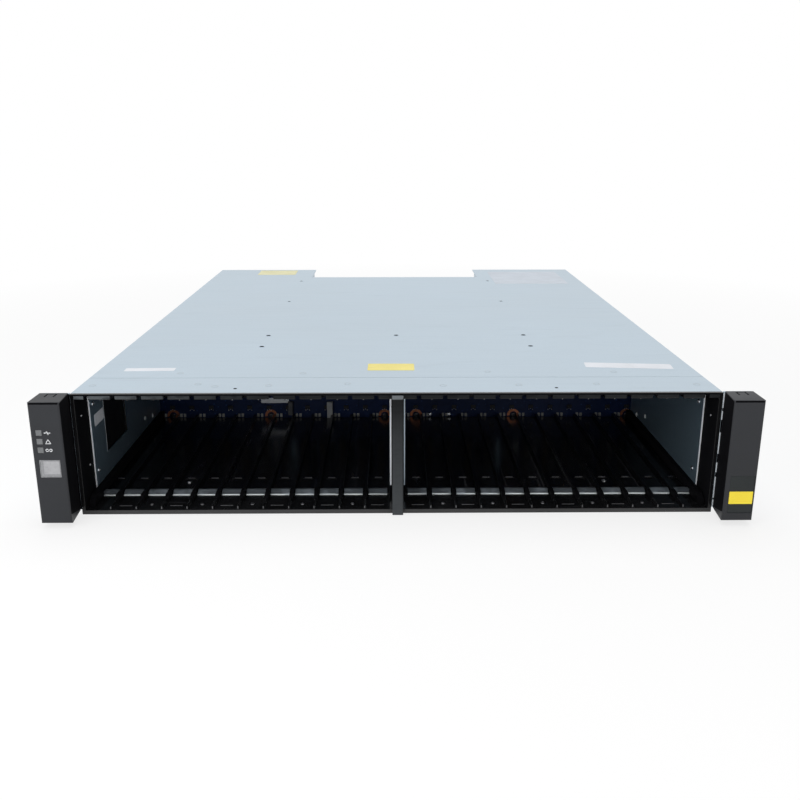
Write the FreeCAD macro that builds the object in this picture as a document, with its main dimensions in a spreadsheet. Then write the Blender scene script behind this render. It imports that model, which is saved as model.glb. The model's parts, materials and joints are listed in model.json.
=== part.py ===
import FreeCAD, Part
import math
import os
import re
import Sketcher

# Rack disk enclosure, two rack units high, with upright drive bays at the front and two power
# supplies and two input/output modules at the back. Lengths are in millimetres, angles in degrees.
# X points right, Y back and Z up. In the sketches Y is measured from the rack flanges' front face;
# settle() then moves every piece so that the origin lies under the middle of the whole part.

SIZES = {
    # Drive cage
    "bays_per_side": 12,
    "bay_pitch": 17.85,
    "divider_width": 11.0,
    "side_clearance": 0.6,
    # Shell of folded sheet
    "sheet_steel": 1.2,
    "bend_radius": 1.0,
    "body_height": 87.9,
    "body_depth": 573.0,
    "notch_width": 202.0,
    "notch_depth": 62.0,
    "front_strip": 41.5,
    "seam_gap": 0.5,
    "joggle_lap": 8.0,
    "rail_hole_radius": 2.2,
    "rail_hole_place": 120.0,
    "rail_hole_spacing": 300.0,
    # Front frame
    "lip_depth": 3.0,
    "frame_depth": 26.0,
    "sill_height": 3.2,
    "head_height": 3.9,
    "post_width": 2.6,
    "head_notch_width": 3.0,
    "head_notch_height": 2.6,
    "head_notch_depth": 8.0,
    "sill_rib_width": 1.2,
    "sill_rib_height": 2.0,
    "pip_width": 1.0,
    "pip_length": 2.5,
    "pip_drop": 1.5,
    # Drive guides
    "guide_plate": 2.8,
    "guide_rib_width": 2.6,
    "guide_rib_height": 3.0,
    "guide_end_gap": 2.0,
    "finger_window": 8.6,
    "finger_window_margin": 0.4,
    "guide_slot_place": 56.0,
    "guide_slot_width": 8.0,
    "guide_slot_length": 2.4,
    # Side plates of the cage
    "side_plate_steel": 1.2,
    "side_plate_inset": 2.3,
    "side_opening_place": 55.5,
    "side_opening_length": 51.5,
    "side_opening_low": 26.5,
    "side_opening_height": 45.0,
    # Earthing strips
    "strip_steel": 0.4,
    "strip_setback": 0.3,
    "strip_width": 2.4,
    "strip_groove": 0.8,
    "finger_gap": 0.3,
    "finger_leg": 2.2,
    "finger_lip_rise": 1.0,
    "finger_lip_run": 0.6,
    "finger_height": 4.9,
    "finger_crest": 4.0,
    "finger_reach": 7.6,
    "finger_fall": 0.8,
    # Divider
    "divider_steel": 1.0,
    "divider_setback": 2.0,
    "divider_tab": 22.0,
    "cap_width": 7.6,
    "cap_proud": 4.0,
    "cap_top_gap": 1.4,
    "cap_slope": 1.6,
    "cap_rounding": 1.2,
    # Midplane
    "midplane_place": 212.0,
    "board_thickness": 3.0,
    "board_edge_gap": 0.4,
    "vent_width": 6.0,
    "vent_height": 34.0,
    "vent_low": 28.0,
    "carrier_steel": 1.2,
    "carrier_margin": 12.0,
    "carrier_flange": 16.0,
    "drive_socket_width": 5.6,
    "drive_socket_height": 43.0,
    "drive_socket_low": 25.0,
    "drive_socket_depth": 8.5,
    "drive_socket_wall": 1.2,
    "drive_socket_hollow": 5.0,
    "board_screw_rise": 5.4,
    "board_screw_first": 18.6,
    "board_screw_second": 109.2,
    "board_screw_third": 214.6,
    "board_screw_head": 2.6,
    "board_screw_head_rise": 1.6,
    "board_screw_shank": 1.4,
    # Module connectors on the back of the midplane
    "connector_length": 25.0,
    "connector_height": 11.0,
    "io_connector_place": 61.0,
    "io_connector_width": 66.0,
    "psu_connector_width": 50.0,
    "card_slot_depth": 8.0,
    "card_slot_gap": 0.3,
    # Partition walls, shelf and rivets
    "wall_flange": 16.0,
    "wall_end_gap": 25.0,
    "shelf_setback": 6.0,
    "shelf_tab": 20.0,
    "shelf_tab_count": 3,
    "fastener_sides": 6,
    "rivet_radius": 2.4,
    "rivet_inset": 10.0,
    "front_rivet_place": 139.0,
    "middle_rivet_place": 181.0,
    "rear_rivet_place": 345.0,
    "last_rivet_place": 480.0,
    # Rack flanges
    "flange_steel": 2.0,
    "flange_leg": 40.0,
    "flange_leg_inset": 8.0,
    "flange_margin": 0.5,
    "rack_hole_radius": 3.4,
    "rack_hole_inset": 8.75,
    "rack_hole_rise": 44.45,
    # Ear caps
    "ear_width": 19.8,
    "ear_depth": 22.9,
    "ear_gap": 0.9,
    "ear_flare": 2.1,
    "ear_rise": 1.0,
    "ear_bottom": 3.5,
    "ear_wall": 2.0,
    "ear_rounding": 1.5,
    "peg_width": 4.8,
    "peg_gap": 0.1,
    "light_size": 4.2,
    "light_inset": 5.5,
    "light_low": 56.2,
    "light_pitch": 6.0,
    "light_length": 6.0,
    "display_width": 14.2,
    "display_height": 12.6,
    "display_low": 36.8,
    "display_recess": 1.0,
    "display_glass": 0.6,
    "badge_width": 16.6,
    "badge_height": 27.0,
    "badge_low": 9.2,
    "badge_recess": 0.5,
    "press_tab_width": 7.0,
    "press_tab_length": 7.0,
    "press_tab_setback": 13.6,
    "press_tab_slit": 1.0,
    "indicator_board": 1.6,
    "indicator_board_width": 12.0,
    "indicator_board_height": 22.0,
    # Clearances
    "fit_gap": 0.1,
    "guide_gap": 0.2,
    "touch_gap": 0.3,
    "module_gap": 0.4,
    "side_gap": 0.6,
    "cut_overrun": 1.0,
    # Power supplies
    "case_steel": 1.0,
    "face_steel": 1.5,
    "psu_recess": 6.0,
    "fan_frame": 58.0,
    "fan_margin": 1.0,
    "fan_depth": 25.0,
    "fan_bore": 27.0,
    "fan_strut": 4.0,
    "fan_strut_depth": 3.0,
    "fan_seat": 11.0,
    "fan_shaft": 2.0,
    "fan_shaft_gap": 0.06,
    "fan_hub": 10.5,
    "fan_hub_depth": 17.0,
    "fan_end_gap": 1.0,
    "fan_blade_count": 5,
    "fan_blade_tip": 26.2,
    "fan_blade_thickness": 1.4,
    "fan_blade_axial": 6.5,
    "fan_blade_sweep": 5.5,
    "fan_blade_camber": 1.6,
    "guard_rows": 5,
    "guard_pitch": 9.8,
    "guard_web": 1.8,
    "inlet_inset": 18.0,
    "inlet_width": 27.0,
    "inlet_height": 46.0,
    "inlet_low": 21.0,
    "inlet_rim": 1.6,
    "inlet_proud": 2.0,
    "inlet_length": 22.0,
    "socket_width": 24.0,
    "socket_height": 16.5,
    "socket_low": 3.0,
    "socket_depth": 16.0,
    "socket_corner": 4.0,
    "socket_pin_width": 2.0,
    "socket_pin_height": 4.0,
    "socket_pin_length": 10.0,
    "socket_pin_spread": 7.0,
    "rocker_bay_low": 22.0,
    "rocker_bay_width": 14.0,
    "rocker_bay_height": 21.0,
    "rocker_bay_depth": 11.0,
    "rocker_width": 13.0,
    "rocker_half": 8.8,
    "rocker_back": 3.0,
    "rocker_rise": 3.6,
    "rocker_waist": 1.2,
    "rocker_tilt": 8.0,
    "rocker_pivot_depth": 3.4,
    "rocker_trunnion": 1.2,
    "rocker_trunnion_length": 1.5,
    # Input/output modules
    "io_recess": 3.0,
    "board_rail": 4.0,
    "board_rail_width": 6.0,
    "io_board_thickness": 1.6,
    "port_wall": 0.6,
    "port_length": 40.0,
    "port_proud": 0.6,
    "port_gap": 0.2,
    "fibre_width": 15.0,
    "fibre_height": 10.2,
    "expansion_width": 17.0,
    "expansion_height": 11.0,
    "network_width": 16.4,
    "network_height": 13.6,
    "port_margin": 30.0,
    "port_pair_pitch": 18.0,
    "port_set_gap": 26.0,
    # Levers
    "lever_gap": 0.6,
    "lever_depth": 8.0,
    "lever_rise": 10.0,
    "lever_margin": 4.0,
    "lever_inset": 8.0,
    "lever_waist": 4.0,
    "lever_grip": 9.0,
    "lever_end_gap": 0.3,
    "io_lever_length": 62.0,
    "lug_steel": 1.5,
    "lug_half": 4.0,
    "pin_radius": 1.5,
    "pin_gap": 0.06,
}

LAYOUT = {
    # Shell
    "inner_half": "bays_per_side * bay_pitch + divider_width / 2 + side_clearance",
    "outer_half": "inner_half + sheet_steel",
    "roof": "body_height - sheet_steel",
    "ceiling": "roof - sheet_steel",
    "middle_height": "body_height / 2",
    "notch_half": "notch_width / 2",
    "core_depth": "body_depth - notch_depth",
    "cover_front": "front_strip + seam_gap",
    "lining_half": "inner_half - fit_gap",
    # Front frame and bays
    "window_half": "outer_half - post_width",
    "head_bottom": "body_height - head_height",
    "divider_half": "divider_width / 2",
    "first_boundary": "divider_half + bay_pitch",
    "first_bay": "divider_half + bay_pitch / 2",
    # Guides and earthing strips
    "guide_front": "frame_depth + guide_gap",
    "guide_back": "midplane_place - guide_end_gap",
    "guide_inner": "divider_half + guide_gap",
    "guide_outer": "inner_half - guide_gap",
    "guide_floor": "sheet_steel + guide_plate",
    "guide_top": "ceiling - guide_gap",
    "guide_ceiling": "guide_top - guide_plate",
    "side_plate_inner": "inner_half - side_plate_inset",
    "side_plate_low": "guide_floor + guide_gap",
    "side_plate_high": "guide_ceiling - guide_gap",
    "finger_window_width": "bay_pitch - guide_rib_width - 2 * finger_window_margin",
    "finger_width": "finger_window_width - 2 * finger_gap",
    "strip_front": "guide_front + strip_setback",
    "strip_top": "sheet_steel + strip_steel",
    "finger_toe": "sheet_steel + finger_leg",
    "finger_lip": "finger_toe + finger_lip_rise",
    "finger_top": "sheet_steel + finger_height",
    "divider_front": "frame_depth + divider_setback",
    # Midplane
    "board_low": "sheet_steel + board_edge_gap",
    "board_high": "ceiling - board_edge_gap",
    "board_half": "inner_half - board_edge_gap",
    "board_back": "midplane_place + board_thickness",
    "carrier_back": "board_back + carrier_steel",
    "connector_back": "board_back + connector_length",
    "module_front": "connector_back + touch_gap",
    # Partition walls and shelf
    "wall_outer": "notch_half + sheet_steel",
    "wall_back": "body_depth - wall_end_gap",
    "rivet_across": "notch_half + rivet_inset",
    "shelf_low": "(body_height - sheet_steel) / 2",
    "shelf_high": "shelf_low + sheet_steel",
    "shelf_back": "core_depth - shelf_setback",
    "shelf_tab_pitch": "(shelf_back - module_front - 3 * shelf_tab) / (shelf_tab_count - 1)",
    # Rack flanges and ear caps
    "ear_outer": "outer_half + ear_width",
    "ear_inner": "outer_half + ear_gap",
    "ear_middle": "(ear_outer + ear_inner) / 2",
    "ear_face_inner": "ear_inner - ear_flare",
    "ear_face_middle": "(ear_outer + ear_face_inner) / 2",
    "ear_top": "body_height + ear_rise",
    "ear_inside": "ear_depth - ear_wall",
    "rack_hole_across": "ear_outer - rack_hole_inset",
    "light_across": "ear_outer - light_inset",
    # Power supplies
    "psu_centre": "(wall_outer + inner_half) / 2",
    "psu_half": "(inner_half - wall_outer) / 2 - side_gap",
    "psu_low": "2 * sheet_steel + module_gap",
    "psu_high": "ceiling - module_gap",
    "psu_back": "body_depth - psu_recess",
    "psu_face_back": "psu_back + face_steel",
    "fan_reach": "psu_half - case_steel - fan_margin - fan_frame / 2",
    "fan_rise": "psu_high - case_steel - fan_margin - fan_frame / 2",
    "fan_front": "psu_back - fan_depth",
    "rotor_front": "fan_front + fan_strut_depth + fan_end_gap",
    "inlet_reach": "psu_half - inlet_inset",
    "inlet_bottom": "psu_low + inlet_low",
    "inlet_back": "psu_face_back + inlet_proud",
    "rocker_rise_place": "inlet_bottom + rocker_bay_low + rocker_bay_height / 2",
    "rocker_pivot_place": "inlet_back - rocker_pivot_depth",
    "psu_lever_low": "psu_low + lever_margin",
    "psu_lever_length": "2 * (psu_half - lever_inset)",
    # Input/output modules
    "io_half": "notch_half - side_gap",
    "io_height": "shelf_low - sheet_steel - 2 * module_gap",
    "io_back": "core_depth - io_recess",
    "io_face_back": "io_back + face_steel",
    "io_card_front": "connector_back - card_slot_depth + touch_gap",
    # Overall
    "rear_reach": "psu_face_back + lever_gap + lever_depth",
    "datum": "(ear_depth - rear_reach) / 2",
}

SIDES = {"left": -1, "right": 1}
MODULES = {"lower": "sheet_steel + module_gap", "upper": "shelf_high + module_gap"}
PLANE_SENSE = {"XY": 1, "XZ": -1, "YZ": 1}
PIECES = []

doc = FreeCAD.newDocument("disk_enclosure")
sizes = doc.addObject("Spreadsheet::Sheet", "Sizes")
layout = doc.addObject("Spreadsheet::Sheet", "Layout")


def link(formula, home=""):
    """The formula with every named size pointed at the sheet that holds it."""
    def place(match):
        word = match[0]
        if word in SIZES:
            return f"Sizes.{word}"
        if word in LAYOUT and home != "Layout":
            return f"Layout.{word}"
        return word
    return re.sub(r"[a-z]\w*", place, formula)


def fill_sheets():
    """Write the driving sizes as plain numbers and the places worked out from them as formulas."""
    for row, (alias, number) in enumerate(SIZES.items(), 1):
        sizes.set(f"A{row}", alias)
        sizes.set(f"B{row}", str(number))
        sizes.setAlias(f"B{row}", alias)
    doc.recompute()
    for row, (alias, formula) in enumerate(LAYOUT.items(), 1):
        layout.set(f"A{row}", alias)
        layout.set(f"B{row}", "=" + link(formula, "Layout"))
        layout.setAlias(f"B{row}", alias)
    doc.recompute()


def number(alias):
    """The present value of a named size or place."""
    return float(getattr(sizes if alias in SIZES else layout, alias))


def span(side, near, far):
    """Low and high x of what reaches from near to far on one side of the middle."""
    if side > 0:
        return near, far
    return f"-({far})", f"-({near})"


def around(middle, width):
    """Low and high ends of a width laid out evenly about its middle."""
    return f"{middle} - ({width}) / 2", f"{middle} + ({width}) / 2"


def rectangle(across, up):
    """Corners of a rectangle between two pairs of low and high ends."""
    return [(across[0], up[0]), (across[1], up[0]), (across[1], up[1]), (across[0], up[1])]


def fix(drawing, kind, element, corner, start, formula):
    """Hold one coordinate of a sketch point at a formula."""
    index = drawing.addConstraint(Sketcher.Constraint(kind, -1, 1, element, corner, start))
    drawing.setExpression(f"Constraints[{index}]", link(formula))


def draw_outline(drawing, points):
    """Close straight lines through points that are pairs of formulas."""
    first = drawing.GeometryCount
    count = len(points)
    turns = [2 * math.pi * step / count for step in range(count)]
    starts = [FreeCAD.Vector(math.cos(turn), math.sin(turn), 0) for turn in turns]
    for step in range(count):
        drawing.addGeometry(Part.LineSegment(starts[step], starts[(step + 1) % count]))
    for step, (across, up) in enumerate(points):
        following = first + (step + 1) % count
        drawing.addConstraint(Sketcher.Constraint("Coincident", first + step, 2, following, 1))
        fix(drawing, "DistanceX", first + step, 1, starts[step].x, across)
        fix(drawing, "DistanceY", first + step, 1, starts[step].y, up)


def draw_circle(drawing, across, up, radius):
    """A circle whose centre and radius are formulas."""
    element = drawing.addGeometry(Part.Circle(FreeCAD.Vector(1, 1, 0), FreeCAD.Vector(0, 0, 1), 1))
    fix(drawing, "DistanceX", element, 3, 1, across)
    fix(drawing, "DistanceY", element, 3, 1, up)
    index = drawing.addConstraint(Sketcher.Constraint("Radius", element, 1))
    drawing.setExpression(f"Constraints[{index}]", link(radius))


def origin_feature(owner, role):
    """One of the planes or axes of a body's own origin."""
    return next(feature for feature in owner.Origin.OriginFeatures if feature.Role == role)


def sketch(owner, plane, place, shapes):
    """A sketch on a plane of the body, with outlines as lists and circles as tuples."""
    drawing = owner.newObject("Sketcher::SketchObject", "profile")
    drawing.AttachmentSupport = [(origin_feature(owner, f"{plane}_Plane"), "")]
    drawing.MapMode = "FlatFace"
    drawing.setExpression(".AttachmentOffset.Base.z", link(f"{PLANE_SENSE[plane]} * ({place})"))
    for shape in shapes:
        if isinstance(shape, tuple):
            draw_circle(drawing, *shape)
        else:
            draw_outline(drawing, shape)
    return drawing


def prism(owner, plane, ends, *shapes):
    """Pad shapes drawn on a plane from the low end to the high end along the third axis."""
    drawing = sketch(owner, plane, ends[0], shapes)
    feature = owner.newObject("PartDesign::Pad", "pad")
    feature.Profile = drawing
    feature.Reversed = PLANE_SENSE[plane] < 0
    feature.setExpression("Length", link(f"({ends[1]}) - ({ends[0]})"))
    return feature


def hollow(owner, plane, ends, *shapes):
    """Cut shapes drawn on a plane from the low end to the high end along the third axis."""
    drawing = sketch(owner, plane, ends[0], shapes)
    feature = owner.newObject("PartDesign::Pocket", "pocket")
    feature.Profile = drawing
    feature.Reversed = PLANE_SENSE[plane] > 0
    feature.setExpression("Length", link(f"({ends[1]}) - ({ends[0]})"))
    return feature


def repeat(owner, feature, side, count, pitch, axis="X_Axis"):
    """Repeat a feature at a pitch along an axis, away from the middle."""
    pattern = owner.newObject("PartDesign::LinearPattern", "row")
    pattern.Originals = [feature]
    pattern.Direction = (origin_feature(owner, axis), [""])
    pattern.Reversed = side < 0
    pattern.setExpression("Occurrences", link(count))
    pattern.setExpression("Length", link(f"({count} - 1) * ({pitch})"))
    owner.Tip = pattern


def lies(edge, **places):
    """Whether both ends of an edge have each named coordinate at one of its places."""
    return all(
        any(abs(getattr(vertex.Point, axis) - place) < 0.001 for place in wanted)
        for axis, wanted in places.items()
        for vertex in edge.Vertexes
    )


def round_off(owner, radius, **places):
    """Fillet the edges of the body that lie at the given places."""
    doc.recompute()
    base = owner.Tip
    edges = [f"Edge{index}" for index, edge in enumerate(base.Shape.Edges, 1) if lies(edge, **places)]
    feature = owner.newObject("PartDesign::Fillet", "rounding")
    feature.Base = (base, edges)
    feature.setExpression("Radius", link(radius))


def body(name):
    """A new sub-part of the enclosure."""
    owner = doc.addObject("PartDesign::Body", name)
    owner.Label = name
    PIECES.append(owner)
    return owner


def box(across, back, up):
    """A block between pairs of low and high ends along X, Y and Z."""
    block = doc.addObject("Part::Box", "block")
    for edge, axis, ends in zip(("Length", "Width", "Height"), "xyz", (across, back, up)):
        block.setExpression(edge, link(f"({ends[1]}) - ({ends[0]})"))
        block.setExpression(f".Placement.Base.{axis}", link(ends[0]))
    return block


def shank(place, length, radius):
    """An upright bar with flats, as every fastener is drawn to keep its facets few."""
    bar = doc.addObject("Part::Prism", "shank")
    bar.setExpression("Polygon", link("fastener_sides"))
    bar.setExpression("Circumradius", link(radius))
    bar.setExpression("Height", link(length))
    for axis, formula in zip("xyz", place):
        bar.setExpression(f".Placement.Base.{axis}", link(formula))
    return bar


def rod(across, ends, up, radius):
    """A fastener's bar along Y between its low and high ends."""
    bar = shank((across, ends[0], up), f"({ends[1]}) - ({ends[0]})", radius)
    bar.Placement.Rotation = FreeCAD.Rotation(FreeCAD.Vector(1, 0, 0), -90)
    return bar


def post(across, back, ends, radius):
    """A fastener's upright bar between its low and high ends."""
    return shank((across, back, ends[0]), f"({ends[1]}) - ({ends[0]})", radius)


def flats(across, up, radius):
    """Corners of a fastener's hole."""
    count = SIZES["fastener_sides"]
    turns = [f"{360 / count * step} deg" for step in range(count)]
    return [(f"{across} + ({radius}) * cos({turn})", f"{up} + ({radius}) * sin({turn})") for turn in turns]


def cut(base, tool):
    """One shape less another."""
    result = doc.addObject("Part::Cut", "cut")
    result.Base = base
    result.Tool = tool
    return result


def joined(*parts):
    """Several shapes made into one solid."""
    result = doc.addObject("Part::MultiFuse", "joined")
    result.Shapes = list(parts)
    return result


def group(name, parts):
    """Separate solids that make up one sub-part."""
    result = doc.addObject("Part::Compound", name)
    result.Label = name
    result.Links = parts
    PIECES.append(result)


def chassis_tray():
    """Floor and side walls in one folded sheet, with the rear cut-out and the rail screw holes."""
    tray = body("chassis_tray")
    prism(tray, "XZ", ("lip_depth", "body_depth"), [
        ("-outer_half", "0"), ("outer_half", "0"), ("outer_half", "roof"), ("inner_half", "roof"),
        ("inner_half", "sheet_steel"), ("-inner_half", "sheet_steel"),
        ("-inner_half", "roof"), ("-outer_half", "roof"),
    ])
    hollow(tray, "XY", ("-cut_overrun", "sheet_steel + cut_overrun"), rectangle(
        ("-notch_half", "notch_half"), ("core_depth", "body_depth + cut_overrun")))
    reach = "outer_half + cut_overrun"
    hollow(tray, "YZ", (f"-({reach})", reach),
           ("rail_hole_place", "middle_height", "rail_hole_radius"),
           ("rail_hole_place + rail_hole_spacing", "middle_height", "rail_hole_radius"))
    edge = number("outer_half")
    round_off(tray, "bend_radius", x=(-edge, edge), z=(0,))


def top_cover():
    """Rear sheet of the top, cut out round the modules, with the lap that runs under the front strip."""
    cover = body("top_cover")
    prism(cover, "XY", ("roof", "body_height"), [
        ("-outer_half", "cover_front"), ("outer_half", "cover_front"), ("outer_half", "body_depth"),
        ("notch_half", "body_depth"), ("notch_half", "core_depth"), ("-notch_half", "core_depth"),
        ("-notch_half", "body_depth"), ("-outer_half", "body_depth"),
    ])
    prism(cover, "XY", ("ceiling", "roof"), rectangle(
        ("-lining_half", "lining_half"), ("front_strip - joggle_lap", "cover_front + joggle_lap")))
    holes = [flats(across, back, "rivet_radius + fit_gap") for across, back, seat in rivet_places()]
    hollow(cover, "XY", ("roof - cut_overrun", "body_height + cut_overrun"), *holes)


def rivet_places():
    """Centre of each rivet in the top cover and the height of the face that it is set on."""
    places = [("0", "middle_rivet_place", "ceiling")]
    for side in SIDES.values():
        across = f"{side} * rivet_across"
        places += [(across, back, "guide_top") for back in ("front_rivet_place", "middle_rivet_place")]
        places += [(across, back, "roof") for back in ("rear_rivet_place", "last_rivet_place")]
    return places


def cover_rivets():
    """Flush rivets that hold the guides, the divider and the partition walls to the cover."""
    group("cover_rivets", [
        post(across, back, (seat, "body_height"), "rivet_radius") for across, back, seat in rivet_places()])


def front_top_strip():
    """Front sheet of the top, between the frame's lip and the cover, on the frame's lining."""
    strip = body("front_top_strip")
    prism(strip, "XY", ("roof", "body_height"), rectangle(
        ("-outer_half", "outer_half"), ("lip_depth", "front_strip")))


def front_frame():
    """Black frame: lip and lining, a head notch over each bay, a pip and a sill rib between bays."""
    frame = body("front_frame")
    window = rectangle(("-window_half", "window_half"), ("sill_height", "head_bottom"))
    prism(frame, "XZ", ("0", "lip_depth"), window, rectangle(
        ("-outer_half", "outer_half"), ("0", "body_height")))
    prism(frame, "XZ", ("lip_depth", "frame_depth"), window, rectangle(
        ("-lining_half", "lining_half"), ("sheet_steel", "roof - fit_gap")))
    for side in SIDES.values():
        boundary = f"{side} * first_boundary"
        notch = hollow(frame, "XZ", ("-cut_overrun", "head_notch_depth"), rectangle(
            around(f"{side} * first_bay", "head_notch_width"),
            ("head_bottom - cut_overrun", "head_bottom + head_notch_height")))
        repeat(frame, notch, side, "bays_per_side", "bay_pitch")
        rib = prism(frame, "XY", ("sill_height", "sill_height + sill_rib_height"), rectangle(
            around(boundary, "sill_rib_width"), ("lip_depth / 2", "frame_depth")))
        repeat(frame, rib, side, "bays_per_side - 1", "bay_pitch")
        pip = prism(frame, "XY", ("head_bottom - pip_drop", "head_bottom"), rectangle(
            around(boundary, "pip_width"), ("lip_depth", "lip_depth + pip_length")))
        repeat(frame, pip, side, "bays_per_side - 1", "bay_pitch")


def lower_guide(name, side):
    """Moulding on the floor: a plate with ribs, finger windows at the front and a slot in each bay."""
    guide = body(f"lower_guide_{name}")
    width = span(side, "guide_inner", "guide_outer")
    prism(guide, "XY", ("sheet_steel", "guide_floor"), rectangle(width, ("guide_front", "guide_back")))
    rib = prism(guide, "XY", ("guide_floor", "guide_floor + guide_rib_height"), rectangle(
        around(f"{side} * first_boundary", "guide_rib_width"), ("guide_front", "guide_back")))
    repeat(guide, rib, side, "bays_per_side - 1", "bay_pitch")
    bay = f"{side} * first_bay"
    window = hollow(guide, "XY", ("sheet_steel - cut_overrun", "guide_floor + cut_overrun"), rectangle(
        around(bay, "finger_window_width"), ("guide_front - cut_overrun", "guide_front + finger_window")))
    repeat(guide, window, side, "bays_per_side", "bay_pitch")
    slot = hollow(guide, "XY", ("sheet_steel - cut_overrun", "guide_floor + cut_overrun"), rectangle(
        around(bay, "guide_slot_width"), around("guide_slot_place", "guide_slot_length")))
    repeat(guide, slot, side, "bays_per_side", "bay_pitch")
    hollow(guide, "XY", ("sheet_steel - cut_overrun", "sheet_steel + strip_groove"), rectangle(
        span(side, "guide_inner - cut_overrun", "guide_outer + cut_overrun"),
        ("guide_front - cut_overrun", "strip_front + strip_width + finger_gap")))


def upper_guide(name, side):
    """Moulding under the roof with a rib between every two bays."""
    guide = body(f"upper_guide_{name}")
    length = ("guide_front", "guide_back")
    prism(guide, "XY", ("guide_ceiling", "guide_top"), rectangle(
        span(side, "guide_inner", "guide_outer"), length))
    rib = prism(guide, "XY", ("guide_ceiling - guide_rib_height", "guide_ceiling"), rectangle(
        around(f"{side} * first_boundary", "guide_rib_width"), length))
    repeat(guide, rib, side, "bays_per_side - 1", "bay_pitch")


def side_plate(name, side):
    """Steel pan along the side of the cage, with its folded edges against the tray's wall."""
    plate = body(f"side_plate_{name}")
    behind = "side_plate_inner + side_plate_steel"
    above = "side_plate_low + side_plate_steel"
    below = "side_plate_high - side_plate_steel"
    prism(plate, "XZ", ("guide_front", "guide_back"), [(f"{side} * ({across})", up) for across, up in (
        ("side_plate_inner", "side_plate_low"), ("inner_half", "side_plate_low"), ("inner_half", above),
        (behind, above), (behind, below), ("inner_half", below), ("inner_half", "side_plate_high"),
        ("side_plate_inner", "side_plate_high"),
    )])
    return plate


def side_plates():
    """Both pans; the left one has an opening where the ear's cable comes forward."""
    plates = {name: side_plate(name, side) for name, side in SIDES.items()}
    hollow(plates["left"], "YZ", ("-inner_half - cut_overrun", "cut_overrun - side_plate_inner"), rectangle(
        ("side_opening_place", "side_opening_place + side_opening_length"),
        ("side_opening_low", "side_opening_low + side_opening_height")))


def earth_strip(name, side):
    """Sprung steel strip with an arched finger in each bay: leg, lip, ramp to the crest, falling tip."""
    strip = body(f"earth_strip_{name}")
    prism(strip, "XY", ("sheet_steel", "strip_top"), rectangle(
        span(side, "guide_inner + finger_gap", "guide_outer - finger_gap"),
        ("strip_front", "strip_front + strip_width")))
    lip = "strip_front + finger_lip_run"
    crest = "strip_front + finger_crest"
    tip = "strip_front + finger_reach"
    finger = prism(strip, "YZ", around(f"{side} * first_bay", "finger_width"), [
        ("strip_front", "strip_top"), ("strip_front + strip_steel", "strip_top"),
        ("strip_front + strip_steel", "finger_toe"), (f"{lip} + strip_steel", "finger_lip - strip_steel / 2"),
        (crest, "finger_top - strip_steel"),
        (tip, "finger_top - finger_fall - strip_steel"), (tip, "finger_top - finger_fall"),
        (crest, "finger_top"), (lip, "finger_lip"), ("strip_front", "finger_toe"),
    ])
    repeat(strip, finger, side, "bays_per_side", "bay_pitch")


def divider_channel():
    """Folded channel between the two halves of the cage, with a riveting tab at the top."""
    channel = body("divider_channel")
    prism(channel, "XY", ("sheet_steel", "ceiling"), [
        ("-divider_half", "divider_front"), ("divider_half", "divider_front"),
        ("divider_half", "guide_back"), ("divider_half - divider_steel", "guide_back"),
        ("divider_half - divider_steel", "divider_front + divider_steel"),
        ("divider_steel - divider_half", "divider_front + divider_steel"),
        ("divider_steel - divider_half", "guide_back"), ("-divider_half", "guide_back"),
    ])
    prism(channel, "XY", ("ceiling - divider_steel", "ceiling"), rectangle(
        ("-divider_half", "divider_half"), around("middle_rivet_place", "divider_tab")))


def divider_cap():
    """Dark bar in front of the divider, with its web reaching back to the channel."""
    cap = body("divider_cap")
    top = "body_height - cap_top_gap"
    prism(cap, "YZ", around("0", "cap_width"), [
        ("-cap_proud", "0"), ("0", "0"), ("0", "sill_height + fit_gap"),
        ("divider_front", "sill_height + fit_gap"), ("divider_front", "head_bottom - fit_gap"),
        ("0", "head_bottom - fit_gap"), ("0", top),
        ("cap_slope - cap_proud", top), ("-cap_proud", f"{top} - cap_slope"),
    ])
    half = number("cap_width") / 2
    round_off(cap, "cap_rounding", x=(-half, half), y=(-number("cap_proud"),))


def board_screw_places():
    """Centres of the screws through the midplane board, the same in both halves of the cage."""
    step = "(bays_per_side * bay_pitch + divider_width)"
    firsts = ("board_screw_first", "board_screw_second", "board_screw_third")
    return [
        (f"{across} - {half} * {step}", up)
        for half in (0, 1)
        for across in firsts
        for up in ("board_screw_rise", "ceiling + sheet_steel - board_screw_rise")
    ]


def midplane_board():
    """Circuit board behind the bays, with a vent between every two bays and its screw holes."""
    board = body("midplane_board")
    prism(board, "XZ", ("midplane_place", "board_back"), rectangle(
        ("-board_half", "board_half"), ("board_low", "board_high")))
    through = ("midplane_place - cut_overrun", "board_back + cut_overrun")
    for side in SIDES.values():
        vent = hollow(board, "XZ", through, rectangle(
            around(f"{side} * first_boundary", "vent_width"), ("vent_low", "vent_low + vent_height")))
        repeat(board, vent, side, "bays_per_side - 1", "bay_pitch")
    hollow(board, "XZ", through, *[
        flats(across, up, "board_screw_shank + fit_gap") for across, up in board_screw_places()])


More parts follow.
